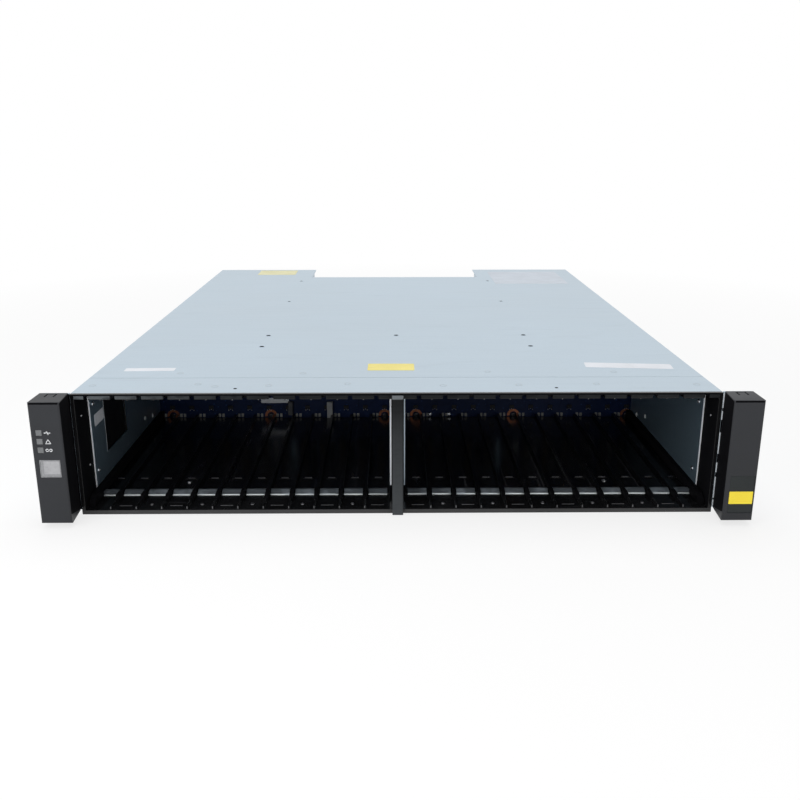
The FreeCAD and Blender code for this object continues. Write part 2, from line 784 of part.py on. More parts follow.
def midplane_carrier():
    """Sheet plate that the board is screwed to, folded back along both side walls."""
    carrier = body("midplane_carrier")
    inside = "inner_half - carrier_steel"
    fold = "board_back + carrier_flange"
    prism(carrier, "XY", ("sheet_steel", "ceiling"), [
        ("-inner_half", "board_back"), ("inner_half", "board_back"), ("inner_half", fold), (inside, fold),
        (inside, "carrier_back"), (f"-({inside})", "carrier_back"), (f"-({inside})", fold),
        ("-inner_half", fold),
    ])
    through = ("board_back - cut_overrun", "carrier_back + cut_overrun")
    for side in SIDES.values():
        hollow(carrier, "XZ", through, rectangle(
            span(side, "carrier_margin", "notch_half - carrier_margin / 2"),
            ("sheet_steel + carrier_margin", "ceiling - carrier_margin")))
        hollow(carrier, "XZ", through, rectangle(
            span(side, "notch_half + carrier_margin / 2", "inner_half - carrier_margin"),
            ("sheet_steel + carrier_margin", "ceiling - carrier_margin")))
    hollow(carrier, "XZ", through, *[
        flats(across, up, "board_screw_shank + fit_gap") for across, up in board_screw_places()])
    for low in MODULES.values():
        hollow(carrier, "XZ", through, rectangle(
            around("io_connector_place", "io_connector_width + 2 * fit_gap"),
            (f"{low} - module_gap - cut_overrun", f"{io_middle(low)} + connector_height / 2 + fit_gap")))


def board_screws():
    """Screws that hold the board to its carrier."""
    screws = []
    front = "midplane_place - board_screw_head_rise"
    for across, up in board_screw_places():
        head = rod(across, (front, "midplane_place"), up, "board_screw_head")
        stem = rod(across, ("midplane_place", "carrier_back"), up, "board_screw_shank")
        screws.append(joined(head, stem))
    group("board_screws", screws)


def drive_sockets():
    """One upright connector per bay on the front of the midplane."""
    sockets = []
    height = ("drive_socket_low", "drive_socket_low + drive_socket_height")
    hollow_height = ("drive_socket_low + drive_socket_wall", f"{height[1]} - drive_socket_wall")
    front = "midplane_place - drive_socket_depth"
    for side in SIDES.values():
        for bay in range(SIZES["bays_per_side"]):
            middle = f"{side} * (first_bay + {bay} * bay_pitch)"
            shell = box(around(middle, "drive_socket_width"), (front, "midplane_place"), height)
            slot = box(around(middle, "drive_socket_width - 2 * drive_socket_wall"),
                       (f"{front} - cut_overrun", f"{front} + drive_socket_hollow"), hollow_height)
            sockets.append(cut(shell, slot))
    group("drive_sockets", sockets)


def io_middle(low):
    """Height of the middle of a module's board above the floor, for its card edge."""
    return f"{low} + case_steel + board_rail + io_board_thickness / 2"


def module_sockets():
    """Connectors on the back of the midplane for the two modules and the two power supplies."""
    sockets = []
    length = ("board_back", "connector_back")
    for low in MODULES.values():
        height = around(io_middle(low), "connector_height")
        shell = box(around("io_connector_place", "io_connector_width"), length, height)
        slot = box(around("io_connector_place", "io_connector_width - 2 * drive_socket_wall"),
                   ("connector_back - card_slot_depth", "connector_back + cut_overrun"),
                   around(io_middle(low), "io_board_thickness + 2 * card_slot_gap"))
        sockets.append(cut(shell, slot))
    for side in SIDES.values():
        sockets.append(box(around(f"{side} * psu_centre", "psu_connector_width"), length,
                           around("middle_height", "connector_height")))
    group("module_sockets", sockets)


def psu_wall(name, side):
    """Channel wall between a power supply and the modules, slotted for the shelf's tabs."""
    wall = body(f"psu_wall_{name}")
    flange = "notch_half + wall_flange"
    prism(wall, "XZ", ("carrier_back", "wall_back"), [(f"{side} * ({across})", up) for across, up in (
        ("notch_half", "sheet_steel"), (flange, "sheet_steel"), (flange, "2 * sheet_steel"),
        ("wall_outer", "2 * sheet_steel"), ("wall_outer", "ceiling"), (flange, "ceiling"),
        (flange, "roof"), ("notch_half", "roof"),
    )])
    slot = hollow(wall, "YZ", span(side, "notch_half - cut_overrun", "wall_outer + cut_overrun"), rectangle(
        ("module_front + shelf_tab - fit_gap", "module_front + 2 * shelf_tab + fit_gap"),
        ("shelf_low - fit_gap", "shelf_high + fit_gap")))
    repeat(wall, slot, 1, "shelf_tab_count", "shelf_tab_pitch", "Y_Axis")


def module_shelf():
    """Sheet between the two modules, held by tabs in the partition walls."""
    shelf = body("module_shelf")
    height = ("shelf_low", "shelf_high")
    prism(shelf, "XY", height, rectangle(
        ("fit_gap - notch_half", "notch_half - fit_gap"), ("module_front", "shelf_back")))
    tab = prism(shelf, "XY", height, rectangle(
        ("-wall_outer", "wall_outer"), ("module_front + shelf_tab", "module_front + 2 * shelf_tab")))
    repeat(shelf, tab, 1, "shelf_tab_count", "shelf_tab_pitch", "Y_Axis")


def rack_flange(name, side):
    """Steel angle with a shorter leg on the side wall, rack screw holes and the hole for the cap's peg."""
    flange = body(f"rack_flange_{name}")
    prism(flange, "XY", ("ear_bottom + flange_margin", "ear_top - flange_margin"), rectangle(
        span(side, "outer_half", "ear_outer - flange_margin"), ("0", "flange_steel")))
    prism(flange, "XY", ("ear_bottom + flange_leg_inset", "ear_top - flange_leg_inset"), rectangle(
        span(side, "outer_half", "outer_half + flange_steel"), ("0", "flange_leg")))
    across = f"{side} * rack_hole_across"
    holes = [(across, end, "rack_hole_radius") for end in around("middle_height", "rack_hole_rise")]
    holes.append(rectangle(
        around(across, "peg_width + 2 * peg_gap"), around("middle_height", "peg_width + 2 * peg_gap")))
    hollow(flange, "XZ", ("-cut_overrun", "flange_steel + cut_overrun"), *holes)


def ear_cap(name, side):
    """Hollow moulded cap over a rack flange, flared and rounded in front, with the peg that holds it."""
    cap = body(f"ear_cap_{name}")
    prism(cap, "XY", ("ear_bottom", "ear_top"), [
        (f"{side} * ({across})", back) for across, back in (
            ("ear_inner", "0"), ("ear_face_inner", "-ear_depth"),
            ("ear_outer", "-ear_depth"), ("ear_outer", "0"))])
    round_off(cap, "ear_rounding", y=(-number("ear_depth"),))
    hollow(cap, "XY", ("ear_bottom + ear_wall", "ear_top - ear_wall"), [
        (f"{side} * ({across})", back) for across, back in (
            ("ear_inner + ear_wall", "cut_overrun"), ("ear_face_inner + ear_wall", "-ear_inside"),
            ("ear_outer - ear_wall", "-ear_inside"), ("ear_outer - ear_wall", "cut_overrun"))])
    prism(cap, "XZ", ("-ear_inside", "flange_steel"), rectangle(
        around(f"{side} * rack_hole_across", "peg_width"), around("middle_height", "peg_width")))
    press_tab(cap, side)
    return cap


def press_tab(cap, side):
    """Slit round three sides of a springy tab in the top of an ear cap."""
    left, right = around(f"{side} * ear_middle", "press_tab_width")
    back = "press_tab_setback - ear_depth + press_tab_length"
    front = "press_tab_setback - ear_depth"
    hollow(cap, "XY", ("ear_top - ear_wall - cut_overrun", "ear_top + cut_overrun"), [
        (left, front), (f"{left} + press_tab_slit", front),
        (f"{left} + press_tab_slit", f"{back} - press_tab_slit"),
        (f"{right} - press_tab_slit", f"{back} - press_tab_slit"),
        (f"{right} - press_tab_slit", front), (right, front), (right, back), (left, back),
    ])


def light_rows():
    """Heights of the three status lights."""
    return [f"light_low + {step} * light_pitch" for step in range(3)]


def left_ear():
    """Left cap with its status lights, display window and the board behind the lights."""
    cap = ear_cap("left", SIDES["left"])
    lights = ["-light_across", "light_size"]
    front = "-ear_depth - cut_overrun"
    hollow(cap, "XZ", (front, "-ear_inside + cut_overrun"), *[
        rectangle(around(*lights), around(row, "light_size")) for row in light_rows()])
    hollow(cap, "XZ", (front, "display_recess - ear_depth"), rectangle(
        around("-ear_face_middle", "display_width"), ("display_low", "display_low + display_height")))
    group("status_lights", [
        box(around("-light_across", "light_size - 2 * fit_gap"), ("-ear_depth", "light_length - ear_depth"),
            around(row, "light_size - 2 * fit_gap")) for row in light_rows()])
    window = body("display_window")
    floor = "display_recess - ear_depth"
    prism(window, "XZ", (f"{floor} - display_glass", floor), rectangle(
        around("-ear_face_middle", "display_width - 2 * fit_gap"),
        ("display_low + fit_gap", "display_low + display_height - fit_gap")))
    board = body("indicator_board")
    seat = "light_length - ear_depth"
    prism(board, "XZ", (seat, f"{seat} + indicator_board"), rectangle(
        around("-ear_middle", "indicator_board_width"),
        around("light_low + light_pitch", "indicator_board_height")))


def right_ear():
    """Right cap with the shallow recess for a badge."""
    cap = ear_cap("right", SIDES["right"])
    hollow(cap, "XZ", ("-ear_depth - cut_overrun", "badge_recess - ear_depth"), rectangle(
        around("ear_middle", "badge_width"), ("badge_low", "badge_low + badge_height")))


def lever(name, pivot, way, face_back, low, length):
    """Cam lever with a bevelled end, a thin waist and a grip, bored for the pin that it swings on."""
    arm = body(name)
    front = f"{face_back} + lever_gap"
    height = (low, f"{low} + lever_rise")
    centre = (pivot, f"{front} + lever_depth / 2")
    bevel = "lever_depth / 2 * tan(22.5 deg)"
    prism(arm, "XY", height, [(f"{pivot} + {way} * ({along})", f"{front} + {out}") for along, out in (
        (f"-{bevel}", "0"), (length, "0"), (length, "lever_depth"), (f"{length} - lever_grip", "lever_depth"),
        (f"{length} - lever_grip - lever_waist", "lever_waist"), ("lever_depth + lever_waist", "lever_waist"),
        ("lever_depth", "lever_depth"), (f"-{bevel}", "lever_depth"),
        ("-lever_depth / 2", f"lever_depth / 2 + {bevel}"),
        ("-lever_depth / 2", f"lever_depth / 2 - {bevel}"),
    )])
    hollow(arm, "XY", (f"{low} - cut_overrun", f"{height[1]} + cut_overrun"), (
        *centre, "pin_radius + pin_gap"))


def lever_lugs(face, pivot, face_back, low):
    """Two lugs and the pin between them that carry a lever on a face plate."""
    middle = f"{face_back} + lever_gap + lever_depth / 2"
    outline = rectangle((f"{pivot} - lug_half", f"{pivot} + lug_half"),
                        (f"{face_back} - face_steel / 2", f"{middle} + lug_half - lever_gap"))
    below = f"{low} - lever_end_gap"
    above = f"{low} + lever_rise + lever_end_gap"
    prism(face, "XY", (f"{below} - lug_steel", below), outline)
    prism(face, "XY", (above, f"{above} + lug_steel"), outline)
    prism(face, "XY", (f"{below} - lug_steel / 2", f"{above} + lug_steel / 2"), (pivot, middle, "pin_radius"))


def psu_case(name, centre):
    """Sheet case of a power supply, open at the back for its face."""
    case = body(f"psu_{name}_case")
    prism(case, "XZ", ("module_front", "psu_back"), rectangle(
        (f"{centre} - psu_half", f"{centre} + psu_half"), ("psu_low", "psu_high")))
    hollow(case, "XZ", ("module_front + case_steel", "psu_back + cut_overrun"), rectangle(
        (f"{centre} - psu_half + case_steel", f"{centre} + psu_half - case_steel"),
        ("psu_low + case_steel", "psu_high - case_steel")))


def psu_face(name, centre):
    """Back plate of a power supply with a finger guard, the inlet's cut-out and the lever's lugs."""
    face = body(f"psu_{name}_face")
    prism(face, "XZ", ("psu_back", "psu_face_back"), rectangle(
        (f"{centre} - psu_half", f"{centre} + psu_half"), ("psu_low", "psu_high")))
    through = ("psu_back - cut_overrun", "psu_face_back + cut_overrun")
    finger_guard(face, through, f"{centre} - fan_reach")
    hollow(face, "XZ", through, rectangle(
        around(f"{centre} + inlet_reach", "inlet_width + 2 * fit_gap"),
        ("inlet_bottom - fit_gap", "inlet_bottom + inlet_height + fit_gap")))
    lever_lugs(face, f"{centre} - psu_half + lever_inset", "psu_face_back", "psu_lever_low")


def finger_guard(face, through, middle):
    """Rows of six-sided holes behind the fan, with the longest row across its axis."""
    half = "(guard_pitch - guard_web) / 2"
    tip = f"2 * {half} / sqrt(3)"
    rows = SIZES["guard_rows"]
    for step in range(rows):
        offset = step - (rows - 1) / 2
        count = rows - abs(offset)
        first = f"{middle} - {(count - 1) / 2} * guard_pitch"
        level = f"fan_rise + {offset} * guard_pitch * sqrt(3) / 2"
        cell = hollow(face, "XZ", through, [
            (first, f"{level} - {tip}"), (f"{first} + {half}", f"{level} - {tip} / 2"),
            (f"{first} + {half}", f"{level} + {tip} / 2"), (first, f"{level} + {tip}"),
            (f"{first} - {half}", f"{level} + {tip} / 2"), (f"{first} - {half}", f"{level} - {tip} / 2"),
        ])
        repeat(face, cell, 1, f"{count}", "guard_pitch")


def fan_frame(name, centre):
    """Square fan frame with a round bore and a bearing seat on four struts."""
    frame = body(f"psu_{name}_fan_frame")
    fan = f"{centre} - fan_reach"
    prism(frame, "XZ", ("fan_front", "psu_back"), (fan, "fan_rise", "fan_bore"), rectangle(
        around(fan, "fan_frame"), around("fan_rise", "fan_frame")))
    depth = ("fan_front", "fan_front + fan_strut_depth")
    prism(frame, "XZ", depth, rectangle(
        around(fan, "2 * fan_bore + fan_strut"), around("fan_rise", "fan_strut")))
    prism(frame, "XZ", depth, rectangle(
        around(fan, "fan_strut"), around("fan_rise", "2 * fan_bore + fan_strut")))
    prism(frame, "XZ", depth, (fan, "fan_rise", "fan_seat"))
    hollow(frame, "XZ", ("fan_front - cut_overrun", "psu_back + cut_overrun"), (
        fan, "fan_rise", "fan_shaft + fan_shaft_gap"))


def fan_rotor(name, centre):
    """Hub with a shaft and cambered blades with round tips, drawn about its axis and set in the frame."""
    rotor = body(f"psu_{name}_fan_rotor")
    prism(rotor, "XZ", ("0", "fan_hub_depth"), ("0", "0", "fan_hub"))
    prism(rotor, "XZ", ("-fan_end_gap - fan_strut_depth", "0"), ("0", "0", "fan_shaft"))
    middle = "fan_hub_depth / 2"
    front, back = around(middle, "2 * fan_blade_axial")
    blade = prism(rotor, "YZ", ("fan_hub / 2", "fan_bore"), [
        (front, "-fan_blade_sweep"), (middle, "-fan_blade_camber"), (back, "fan_blade_sweep"),
        (back, "fan_blade_sweep + fan_blade_thickness"), (middle, "fan_blade_thickness - fan_blade_camber"),
        (front, "fan_blade_thickness - fan_blade_sweep"),
    ])
    ring = rotor.newObject("PartDesign::PolarPattern", "blades")
    ring.Originals = [blade]
    ring.Axis = (origin_feature(rotor, "Y_Axis"), [""])
    ring.Angle = 360
    ring.setExpression("Occurrences", link("fan_blade_count"))
    rotor.Tip = ring
    hollow(rotor, "XZ", ("0", "fan_hub_depth"), ("0", "0", "2 * fan_bore"), ("0", "0", "fan_blade_tip"))
    for axis, formula in zip("xyz", (f"{centre} - fan_reach", "rotor_front", "fan_rise")):
        rotor.setExpression(f".Placement.Base.{axis}", link(formula))


def psu_inlet(name, centre):
    """Moulded inlet with three pins in its socket and, above it, the bay of the rocker switch."""
    inlet = body(f"psu_{name}_inlet")
    middle = f"{centre} + inlet_reach"
    width = around(middle, "inlet_width")
    top = "inlet_bottom + inlet_height"
    prism(inlet, "XZ", ("inlet_back - inlet_length", "psu_face_back"), rectangle(
        width, ("inlet_bottom", top)))
    prism(inlet, "XZ", ("psu_face_back", "inlet_back"), rectangle(
        (f"{width[0]} - inlet_rim", f"{width[1]} + inlet_rim"),
        ("inlet_bottom - inlet_rim", f"{top} + inlet_rim")))
    low = "inlet_bottom + socket_low"
    high = f"{low} + socket_height"
    left, right = around(middle, "socket_width")
    hollow(inlet, "XZ", ("inlet_back - socket_depth", "inlet_back + cut_overrun"), [
        (left, low), (right, low), (right, f"{high} - socket_corner"), (f"{right} - socket_corner", high),
        (f"{left} + socket_corner", high), (left, f"{high} - socket_corner")])
    floor = "inlet_back - socket_depth"
    for step, rise in ((-1, 0.4), (0, 0.6), (1, 0.4)):
        prism(inlet, "XZ", (floor, f"{floor} + socket_pin_length"), rectangle(
            around(f"{middle} + {step} * socket_pin_spread", "socket_pin_width"),
            around(f"{low} + {rise} * socket_height", "socket_pin_height")))
    bay = around("rocker_rise_place", "rocker_bay_height")
    hollow(inlet, "XZ", ("inlet_back - rocker_bay_depth", "inlet_back + cut_overrun"), rectangle(
        around(middle, "rocker_bay_width"), bay))
    reach = "rocker_width + 2 * rocker_trunnion_length + 2 * touch_gap"
    hollow(inlet, "YZ", around(middle, reach), rectangle(
        around("rocker_pivot_place", "2 * (rocker_trunnion + pin_gap)"),
        around("rocker_rise_place", "2 * (rocker_trunnion + pin_gap)")))


def psu_rocker(name, centre):
    """Rocker with two trunnions, drawn about its pivot and then tipped to its rest position."""
    rocker = body(f"psu_{name}_rocker")
    prism(rocker, "YZ", around("0", "rocker_width"), [
        ("-rocker_back", "-rocker_half"), ("rocker_rise", "-rocker_half"), ("rocker_waist", "0"),
        ("rocker_rise", "rocker_half"), ("-rocker_back", "rocker_half"),
    ])
    prism(rocker, "YZ", around("0", "rocker_width + 2 * rocker_trunnion_length"), (
        "0", "0", "rocker_trunnion"))
    rocker.Placement.Rotation = FreeCAD.Rotation(FreeCAD.Vector(1, 0, 0), number("rocker_tilt"))
    for axis, formula in zip("xyz", (f"{centre} + inlet_reach", "rocker_pivot_place", "rocker_rise_place")):
        rocker.setExpression(f".Placement.Base.{axis}", link(formula))


def power_supply(name, side):
    """All pieces of one power supply."""
    centre = f"{side} * psu_centre"
    psu_case(name, centre)
    psu_face(name, centre)
    fan_frame(name, centre)
    fan_rotor(name, centre)
    psu_inlet(name, centre)
    psu_rocker(name, centre)
    lever(f"psu_{name}_lever", f"{centre} - psu_half + lever_inset", 1, "psu_face_back", "psu_lever_low",
          "psu_lever_length")


def ports():
    """Middle, width and height of each port of a module, from left to right."""
    first = "port_margin - io_half"
    pair = "port_pair_pitch"
    second = f"{first} + {pair} + port_set_gap"
    third = f"{second} + {pair} + port_set_gap + {pair} / 2"
    fourth = f"{third} + port_set_gap"
    return [
        (first, "fibre_width", "fibre_height"), (f"{first} + {pair}", "fibre_width", "fibre_height"),
        (second, "fibre_width", "fibre_height"), (f"{second} + {pair}", "fibre_width", "fibre_height"),
        (third, "expansion_width", "expansion_height"), (fourth, "network_width", "network_height"),
    ]


def io_case(name, low):
    """Sheet tube of a module with the two rails that its board lies on."""
    case = body(f"io_{name}_case")
    depth = ("module_front", "io_back")
    inside = "io_half - case_steel"
    floor = f"{low} + case_steel"
    prism(case, "XZ", depth, rectangle(("-io_half", "io_half"), (low, f"{low} + io_height")),
          rectangle((f"-({inside})", inside), (floor, f"{low} + io_height - case_steel")))
    for side in SIDES.values():
        prism(case, "XZ", depth, rectangle(
            span(side, f"{inside} - board_rail_width", inside), (floor, f"{floor} + board_rail")))


def io_board(name, low):
    """Circuit board of a module, with its card edge in the midplane's connector."""
    board = body(f"io_{name}_board")
    bottom = f"{low} + case_steel + board_rail"
    inside = "io_half - case_steel - touch_gap"
    left, right = around("io_connector_place", "io_connector_width - 4 * drive_socket_wall")
    shoulder = "module_front + touch_gap"
    prism(board, "XY", (bottom, f"{bottom} + io_board_thickness"), [
        (left, "io_card_front"), (right, "io_card_front"), (right, shoulder), (inside, shoulder),
        (inside, "io_back"), (f"-({inside})", "io_back"), (f"-({inside})", shoulder), (left, shoulder),
    ])


def port_floor(low):
    """Height of the board's top, where the ports stand."""
    return f"{low} + case_steel + board_rail + io_board_thickness"


def io_face(name, low):
    """Back plate of a module with a cut-out for each port and lugs for its two levers."""
    face = body(f"io_{name}_face")
    prism(face, "XZ", ("io_back", "io_face_back"), rectangle(
        ("-io_half", "io_half"), (low, f"{low} + io_height")))
    floor = port_floor(low)
    hollow(face, "XZ", ("io_back - cut_overrun", "io_face_back + cut_overrun"), *[
        rectangle(around(middle, f"{width} + 2 * port_gap"),
                  (f"{floor} - port_gap", f"{floor} + {height} + port_gap"))
        for middle, width, height in ports()])
    for side in SIDES.values():
        lever_lugs(face, f"{side} * (io_half - lever_inset)", "io_face_back", io_lever_low(low))


def io_lever_low(low):
    """Height of the underside of a module's levers."""
    return f"{low} + io_height - lever_margin - lever_rise"


def io_ports(name, low):
    """Sheet cages of the ports, standing on the board and open at the face."""
    floor = port_floor(low)
    cages = []
    front = "io_back - port_length"
    mouth = "io_face_back + port_proud"
    for middle, width, height in ports():
        shell = box(around(middle, width), (front, mouth), (floor, f"{floor} + {height}"))
        space = box(around(middle, f"{width} - 2 * port_wall"),
                    (f"{front} + port_wall", f"{mouth} + cut_overrun"),
                    (f"{floor} + port_wall", f"{floor} + {height} - port_wall"))
        cages.append(cut(shell, space))
    group(f"io_{name}_ports", cages)


def io_module(name, low):
    """All pieces of one input/output module."""
    io_case(name, low)
    io_face(name, low)
    io_board(name, low)
    io_ports(name, low)
    for word, side in SIDES.items():
        lever(f"io_{name}_lever_{word}", f"{side} * (io_half - lever_inset)", -side, "io_face_back",
              io_lever_low(low), "io_lever_length")


def settle(piece):
    """Move a piece from the flange plane to the origin under the middle of the whole part."""
    own = dict(piece.ExpressionEngine).get(".Placement.Base.y", "0")
    piece.setExpression(".Placement.Base.y", f"{own} + Layout.datum")


def build():
    """Make every sub-part, check it and write its STEP file."""
    fill_sheets()
    chassis_tray()
    top_cover()
    cover_rivets()
    front_top_strip()
    front_frame()
    divider_channel()
    divider_cap()
    midplane_board()
    midplane_carrier()
    board_screws()
    drive_sockets()
    module_sockets()
    module_shelf()
    side_plates()
    left_ear()
    right_ear()
    for name, side in SIDES.items():
        lower_guide(name, side)
        upper_guide(name, side)
        earth_strip(name, side)
        psu_wall(name, side)
        rack_flange(name, side)
        power_supply(name, side)
    for name, low in MODULES.items():
        io_module(name, low)
    for piece in PIECES:
        settle(piece)
    doc.recompute()
    faults = [item.Label for item in doc.Objects if "Invalid" in item.State or "Error" in item.State]
    faults += [piece.Label for piece in PIECES if piece.Shape.isNull() or not piece.Shape.isValid()]
    if faults:
        raise RuntimeError(f"not built soundly: {faults}")
    os.makedirs("parts", exist_ok=True)
    for piece in PIECES:
        piece.Shape.exportStep(f"parts/{piece.Label}.step")


build()
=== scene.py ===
"""Looks of the disk enclosure: materials, small details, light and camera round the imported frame."""
import json
import math

import bpy
from mathutils import Matrix, Vector


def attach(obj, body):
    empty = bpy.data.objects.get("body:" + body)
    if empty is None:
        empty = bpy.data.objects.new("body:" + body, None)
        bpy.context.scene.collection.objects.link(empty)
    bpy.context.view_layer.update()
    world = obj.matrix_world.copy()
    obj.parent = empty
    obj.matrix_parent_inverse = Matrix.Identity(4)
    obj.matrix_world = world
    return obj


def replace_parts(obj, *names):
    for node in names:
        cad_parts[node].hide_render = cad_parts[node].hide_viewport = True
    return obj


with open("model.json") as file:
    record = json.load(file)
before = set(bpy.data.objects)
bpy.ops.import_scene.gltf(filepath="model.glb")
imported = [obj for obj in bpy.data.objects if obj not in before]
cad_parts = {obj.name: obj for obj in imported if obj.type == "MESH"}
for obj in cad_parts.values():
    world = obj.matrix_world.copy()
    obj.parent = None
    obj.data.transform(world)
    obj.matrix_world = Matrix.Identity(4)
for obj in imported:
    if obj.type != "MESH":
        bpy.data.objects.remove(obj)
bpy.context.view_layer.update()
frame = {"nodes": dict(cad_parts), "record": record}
nodes = frame["nodes"]
scene = bpy.context.scene

# Sizes are in millimetres until the last step. Depths count back from the rack flange's front plane, which
# lies this far in front of the part's origin.
FLANGE = 277.1

# The left and the right side
SIDES = (-1, 1)

# Heights that the small details sit on
FLOOR_STEEL = 1.2
SILL_TOP = 3.2
GUIDE_FLOOR = 4.0
GAP_HEIGHT = 46.2
COVER_TOP = 87.9
EAR_TOP = 88.9

# Depths that they sit on
EAR_FRONT = -22.9
SILL_RIB_START = 1.5
LIP = 3.0
GUIDE_START = 26.2
STRIP_FRONT = 26.5
DIVIDER_FACE = 28.0
STRIP_CREST = 30.5
SEAM_MIDDLE = 41.7
BOARD_FRONT = 212.0
IO_FACE = 509.5
PSU_FACE = 568.5

# Distances from the middle
RAIL_FACE = 217.95
PLATE_FACE = 218.0
PLATE_MIDDLE = 218.55
POST_FACE = 218.9
HEAD_REACH = 219.0
WALL_FACE = 220.3
SIDE_FACE = 221.5
GAP_MIDDLE = 221.95

# The row of drive bays on each side of the divider
BAYS = 12
BAY_FIRST = 14.4
BAY_PITCH = 17.85

# Thin sheets: thickness and the bevel of the edge
FILM_SHEET = (0.05, 0.02)
EDGE_SHEET = (0.06, 0.02)
LAND_SHEET = (0.08, 0.03)
LABEL_SHEET = (0.12, 0.05)
MID_SHEET = (0.15, 0.06)
PAD_SHEET = (0.2, 0.08)

# Edges that turn by more than this show as edges
SHARP = math.radians(35)


# Places

def at(x, y, z):
    """A place in metres from millimetres, with y measured back from the rack flange's front plane."""
    return Vector((x, y - FLANGE, z)) / 1000


def facing(place, normal, up):
    """The matrix that lays a shape drawn in u, v and height on a surface: height goes along the normal."""
    out = Vector(normal).normalized()
    rise = Vector(up)
    rise = (rise - rise.dot(out) * out).normalized()
    across = rise.cross(out)
    turn = Matrix((across, rise, out)).transposed().to_4x4()
    return Matrix.Translation(place) @ turn


def on_top(x, y, z=COVER_TOP, turn=0.0):
    """A spot on a face that looks up, with v pointing to the back."""
    back = (math.sin(math.radians(turn)), math.cos(math.radians(turn)), 0)
    return facing(at(x, y, z), (0, 0, 1), back)


def on_front(x, y, z):
    """A spot on a face that looks to the front."""
    return facing(at(x, y, z), (0, -1, 0), (0, 0, 1))


def on_back(x, y, z):
    """A spot on a face that looks to the back."""
    return facing(at(x, y, z), (0, 1, 0), (0, 0, 1))


def on_side(x, y, z, way):
    """A spot on a face that looks to the right, way 1, or to the left, way -1."""
    return facing(at(x, y, z), (way, 0, 0), (0, 0, 1))


def inward(face, side, y, z):
    """A spot on a face that looks to the middle, on the side -1 or 1."""
    return on_side(side * face, y, z, -side)


def bay_middles(start=0, end=BAYS, step=1):
    """The middles of drive bays, counted from the divider, on the left and then on the right."""
    return [side * (BAY_FIRST + bay * BAY_PITCH) for side in SIDES for bay in range(start, end, step)]


def boundaries():
    """The places between every two bays, on the left and then on the right."""
    return [side * (BAY_FIRST + BAY_PITCH * (bay + 0.5)) for side in SIDES for bay in range(BAYS - 1)]


# Outlines, and solids as a list of points and a list of faces

RECESS_SIDES = 36


def rounded(width, height, radius, steps=4):
    """The outline of a rectangle with round corners, middle at the origin."""
    points = []
    corners = ((1, -1, -90), (1, 1, 0), (-1, 1, 90), (-1, -1, 180))
    for side, end, start in corners:
        for step in range(steps + 1):
            angle = math.radians(start + 90 * step / steps)
            u = side * (width / 2 - radius) + radius * math.cos(angle)
            v = end * (height / 2 - radius) + radius * math.sin(angle)
            points.append((u, v))
    return points


def spun(sides, reach):
    """An outline through points at even turns, at the reach that a function gives for each."""
    turns = [2 * math.pi * k / sides for k in range(sides)]
    return [(reach(a) * math.cos(a), reach(a) * math.sin(a)) for a in turns]


def circle(radius, sides=28):
    """A round outline."""
    return spun(sides, lambda angle: radius)


def star(radius, depth=0.24, lobes=6):
    """The outline of a screw recess with round lobes."""
    return spun(RECESS_SIDES, lambda angle: radius * (1 - depth / 2 + depth / 2 * math.cos(lobes * angle)))


def cross(radius, arm=0.3):
    """The outline of a cross recess, its arms a share of the radius wide."""
    def reach(angle):
        near, far = sorted((abs(math.sin(angle)), abs(math.cos(angle))))
        return radius / far if near * radius / far < arm * radius else arm * radius / near
    return spun(RECESS_SIDES, reach)


def mirrored(outline):
    """An outline as it looks from the other side."""
    return [(-u, v) for u, v in reversed(outline)]


def inset(outline, amount, least=0.35):
    """An outline moved inwards by an amount, with a limit on how far a sharp corner runs."""
    points = []
    count = len(outline)
    for k, (u, v) in enumerate(outline):
        before = Vector(outline[k - 1])
        after = Vector(outline[(k + 1) % count])
        here = Vector((u, v))
        first = (here - before).normalized()
        second = (after - here).normalized()
        normal = Vector((-first.y - second.y, first.x + second.x))
        lean = max(least, normal.length / 2)
        points.append(tuple(here + normal.normalized() * amount / lean))
    return points


def stack(*rings, closed=True):
    """A skin through rings of points at given heights, with a cap on the last ring where it is closed."""
    points = []
    faces = []
    count = len(rings[0][0])
    for outline, height in rings:
        points += [(u, v, height) for u, v in outline]
    for level in range(len(rings) - 1):
        low = level * count
        for k in range(count):
            after = (k + 1) % count
            faces.append((low + k, low + after, low + count + after, low + count + k))
    if closed:
        last = (len(rings) - 1) * count
        faces.append(tuple(range(last, last + count)))
    return points, faces


def plate(outline, thickness, edge):
    """A flat plate with a bevelled upper edge and a closed underside."""
    points, faces = stack((outline, 0.0), (outline, thickness - edge), (inset(outline, edge), thickness))
    faces.append(tuple(reversed(range(len(outline)))))
    return points, faces


def trim(width, height, radius, sheet):
    """A small plate with round corners, from a sheet given as thickness and bevel."""
    return plate(rounded(width, height, radius, 2), *sheet)


def disc(radius, thickness, edge, sides=20):
    """A flat disc with a bevelled edge."""
    return plate(circle(radius, sides), thickness, edge)


def hoop(outer, outer_edge, inner_edge, inner, thickness, edge):
    """A flat ring between two outlines, its upper edges bevelled to two others."""
    low = thickness - edge
    return stack((inner, 0.0), (outer, 0.0), (outer, low), (outer_edge, thickness), (inner_edge, thickness),
                 (inner, low), (inner, 0.0), closed=False)


def frame_plate(outline, width, thickness, edge):
    """A flat frame of even width with bevelled upper edges."""
    lines = [inset(outline, amount) for amount in (edge, width - edge, width)]
    return hoop(outline, *lines, thickness, edge)


def washer(inner, outer, thickness, sides=32):
    """A flat ring with softened edges."""
    edge = thickness * 0.4
    lines = [circle(radius, sides) for radius in (outer, outer - edge, inner + edge, inner)]
    return hoop(*lines, thickness, edge)


def dome(radius, height, shares, sides):
    """The rings of a domed head, given as shares of its radius and height."""
    return [(circle(radius * r, sides), height * h) for r, h in shares]


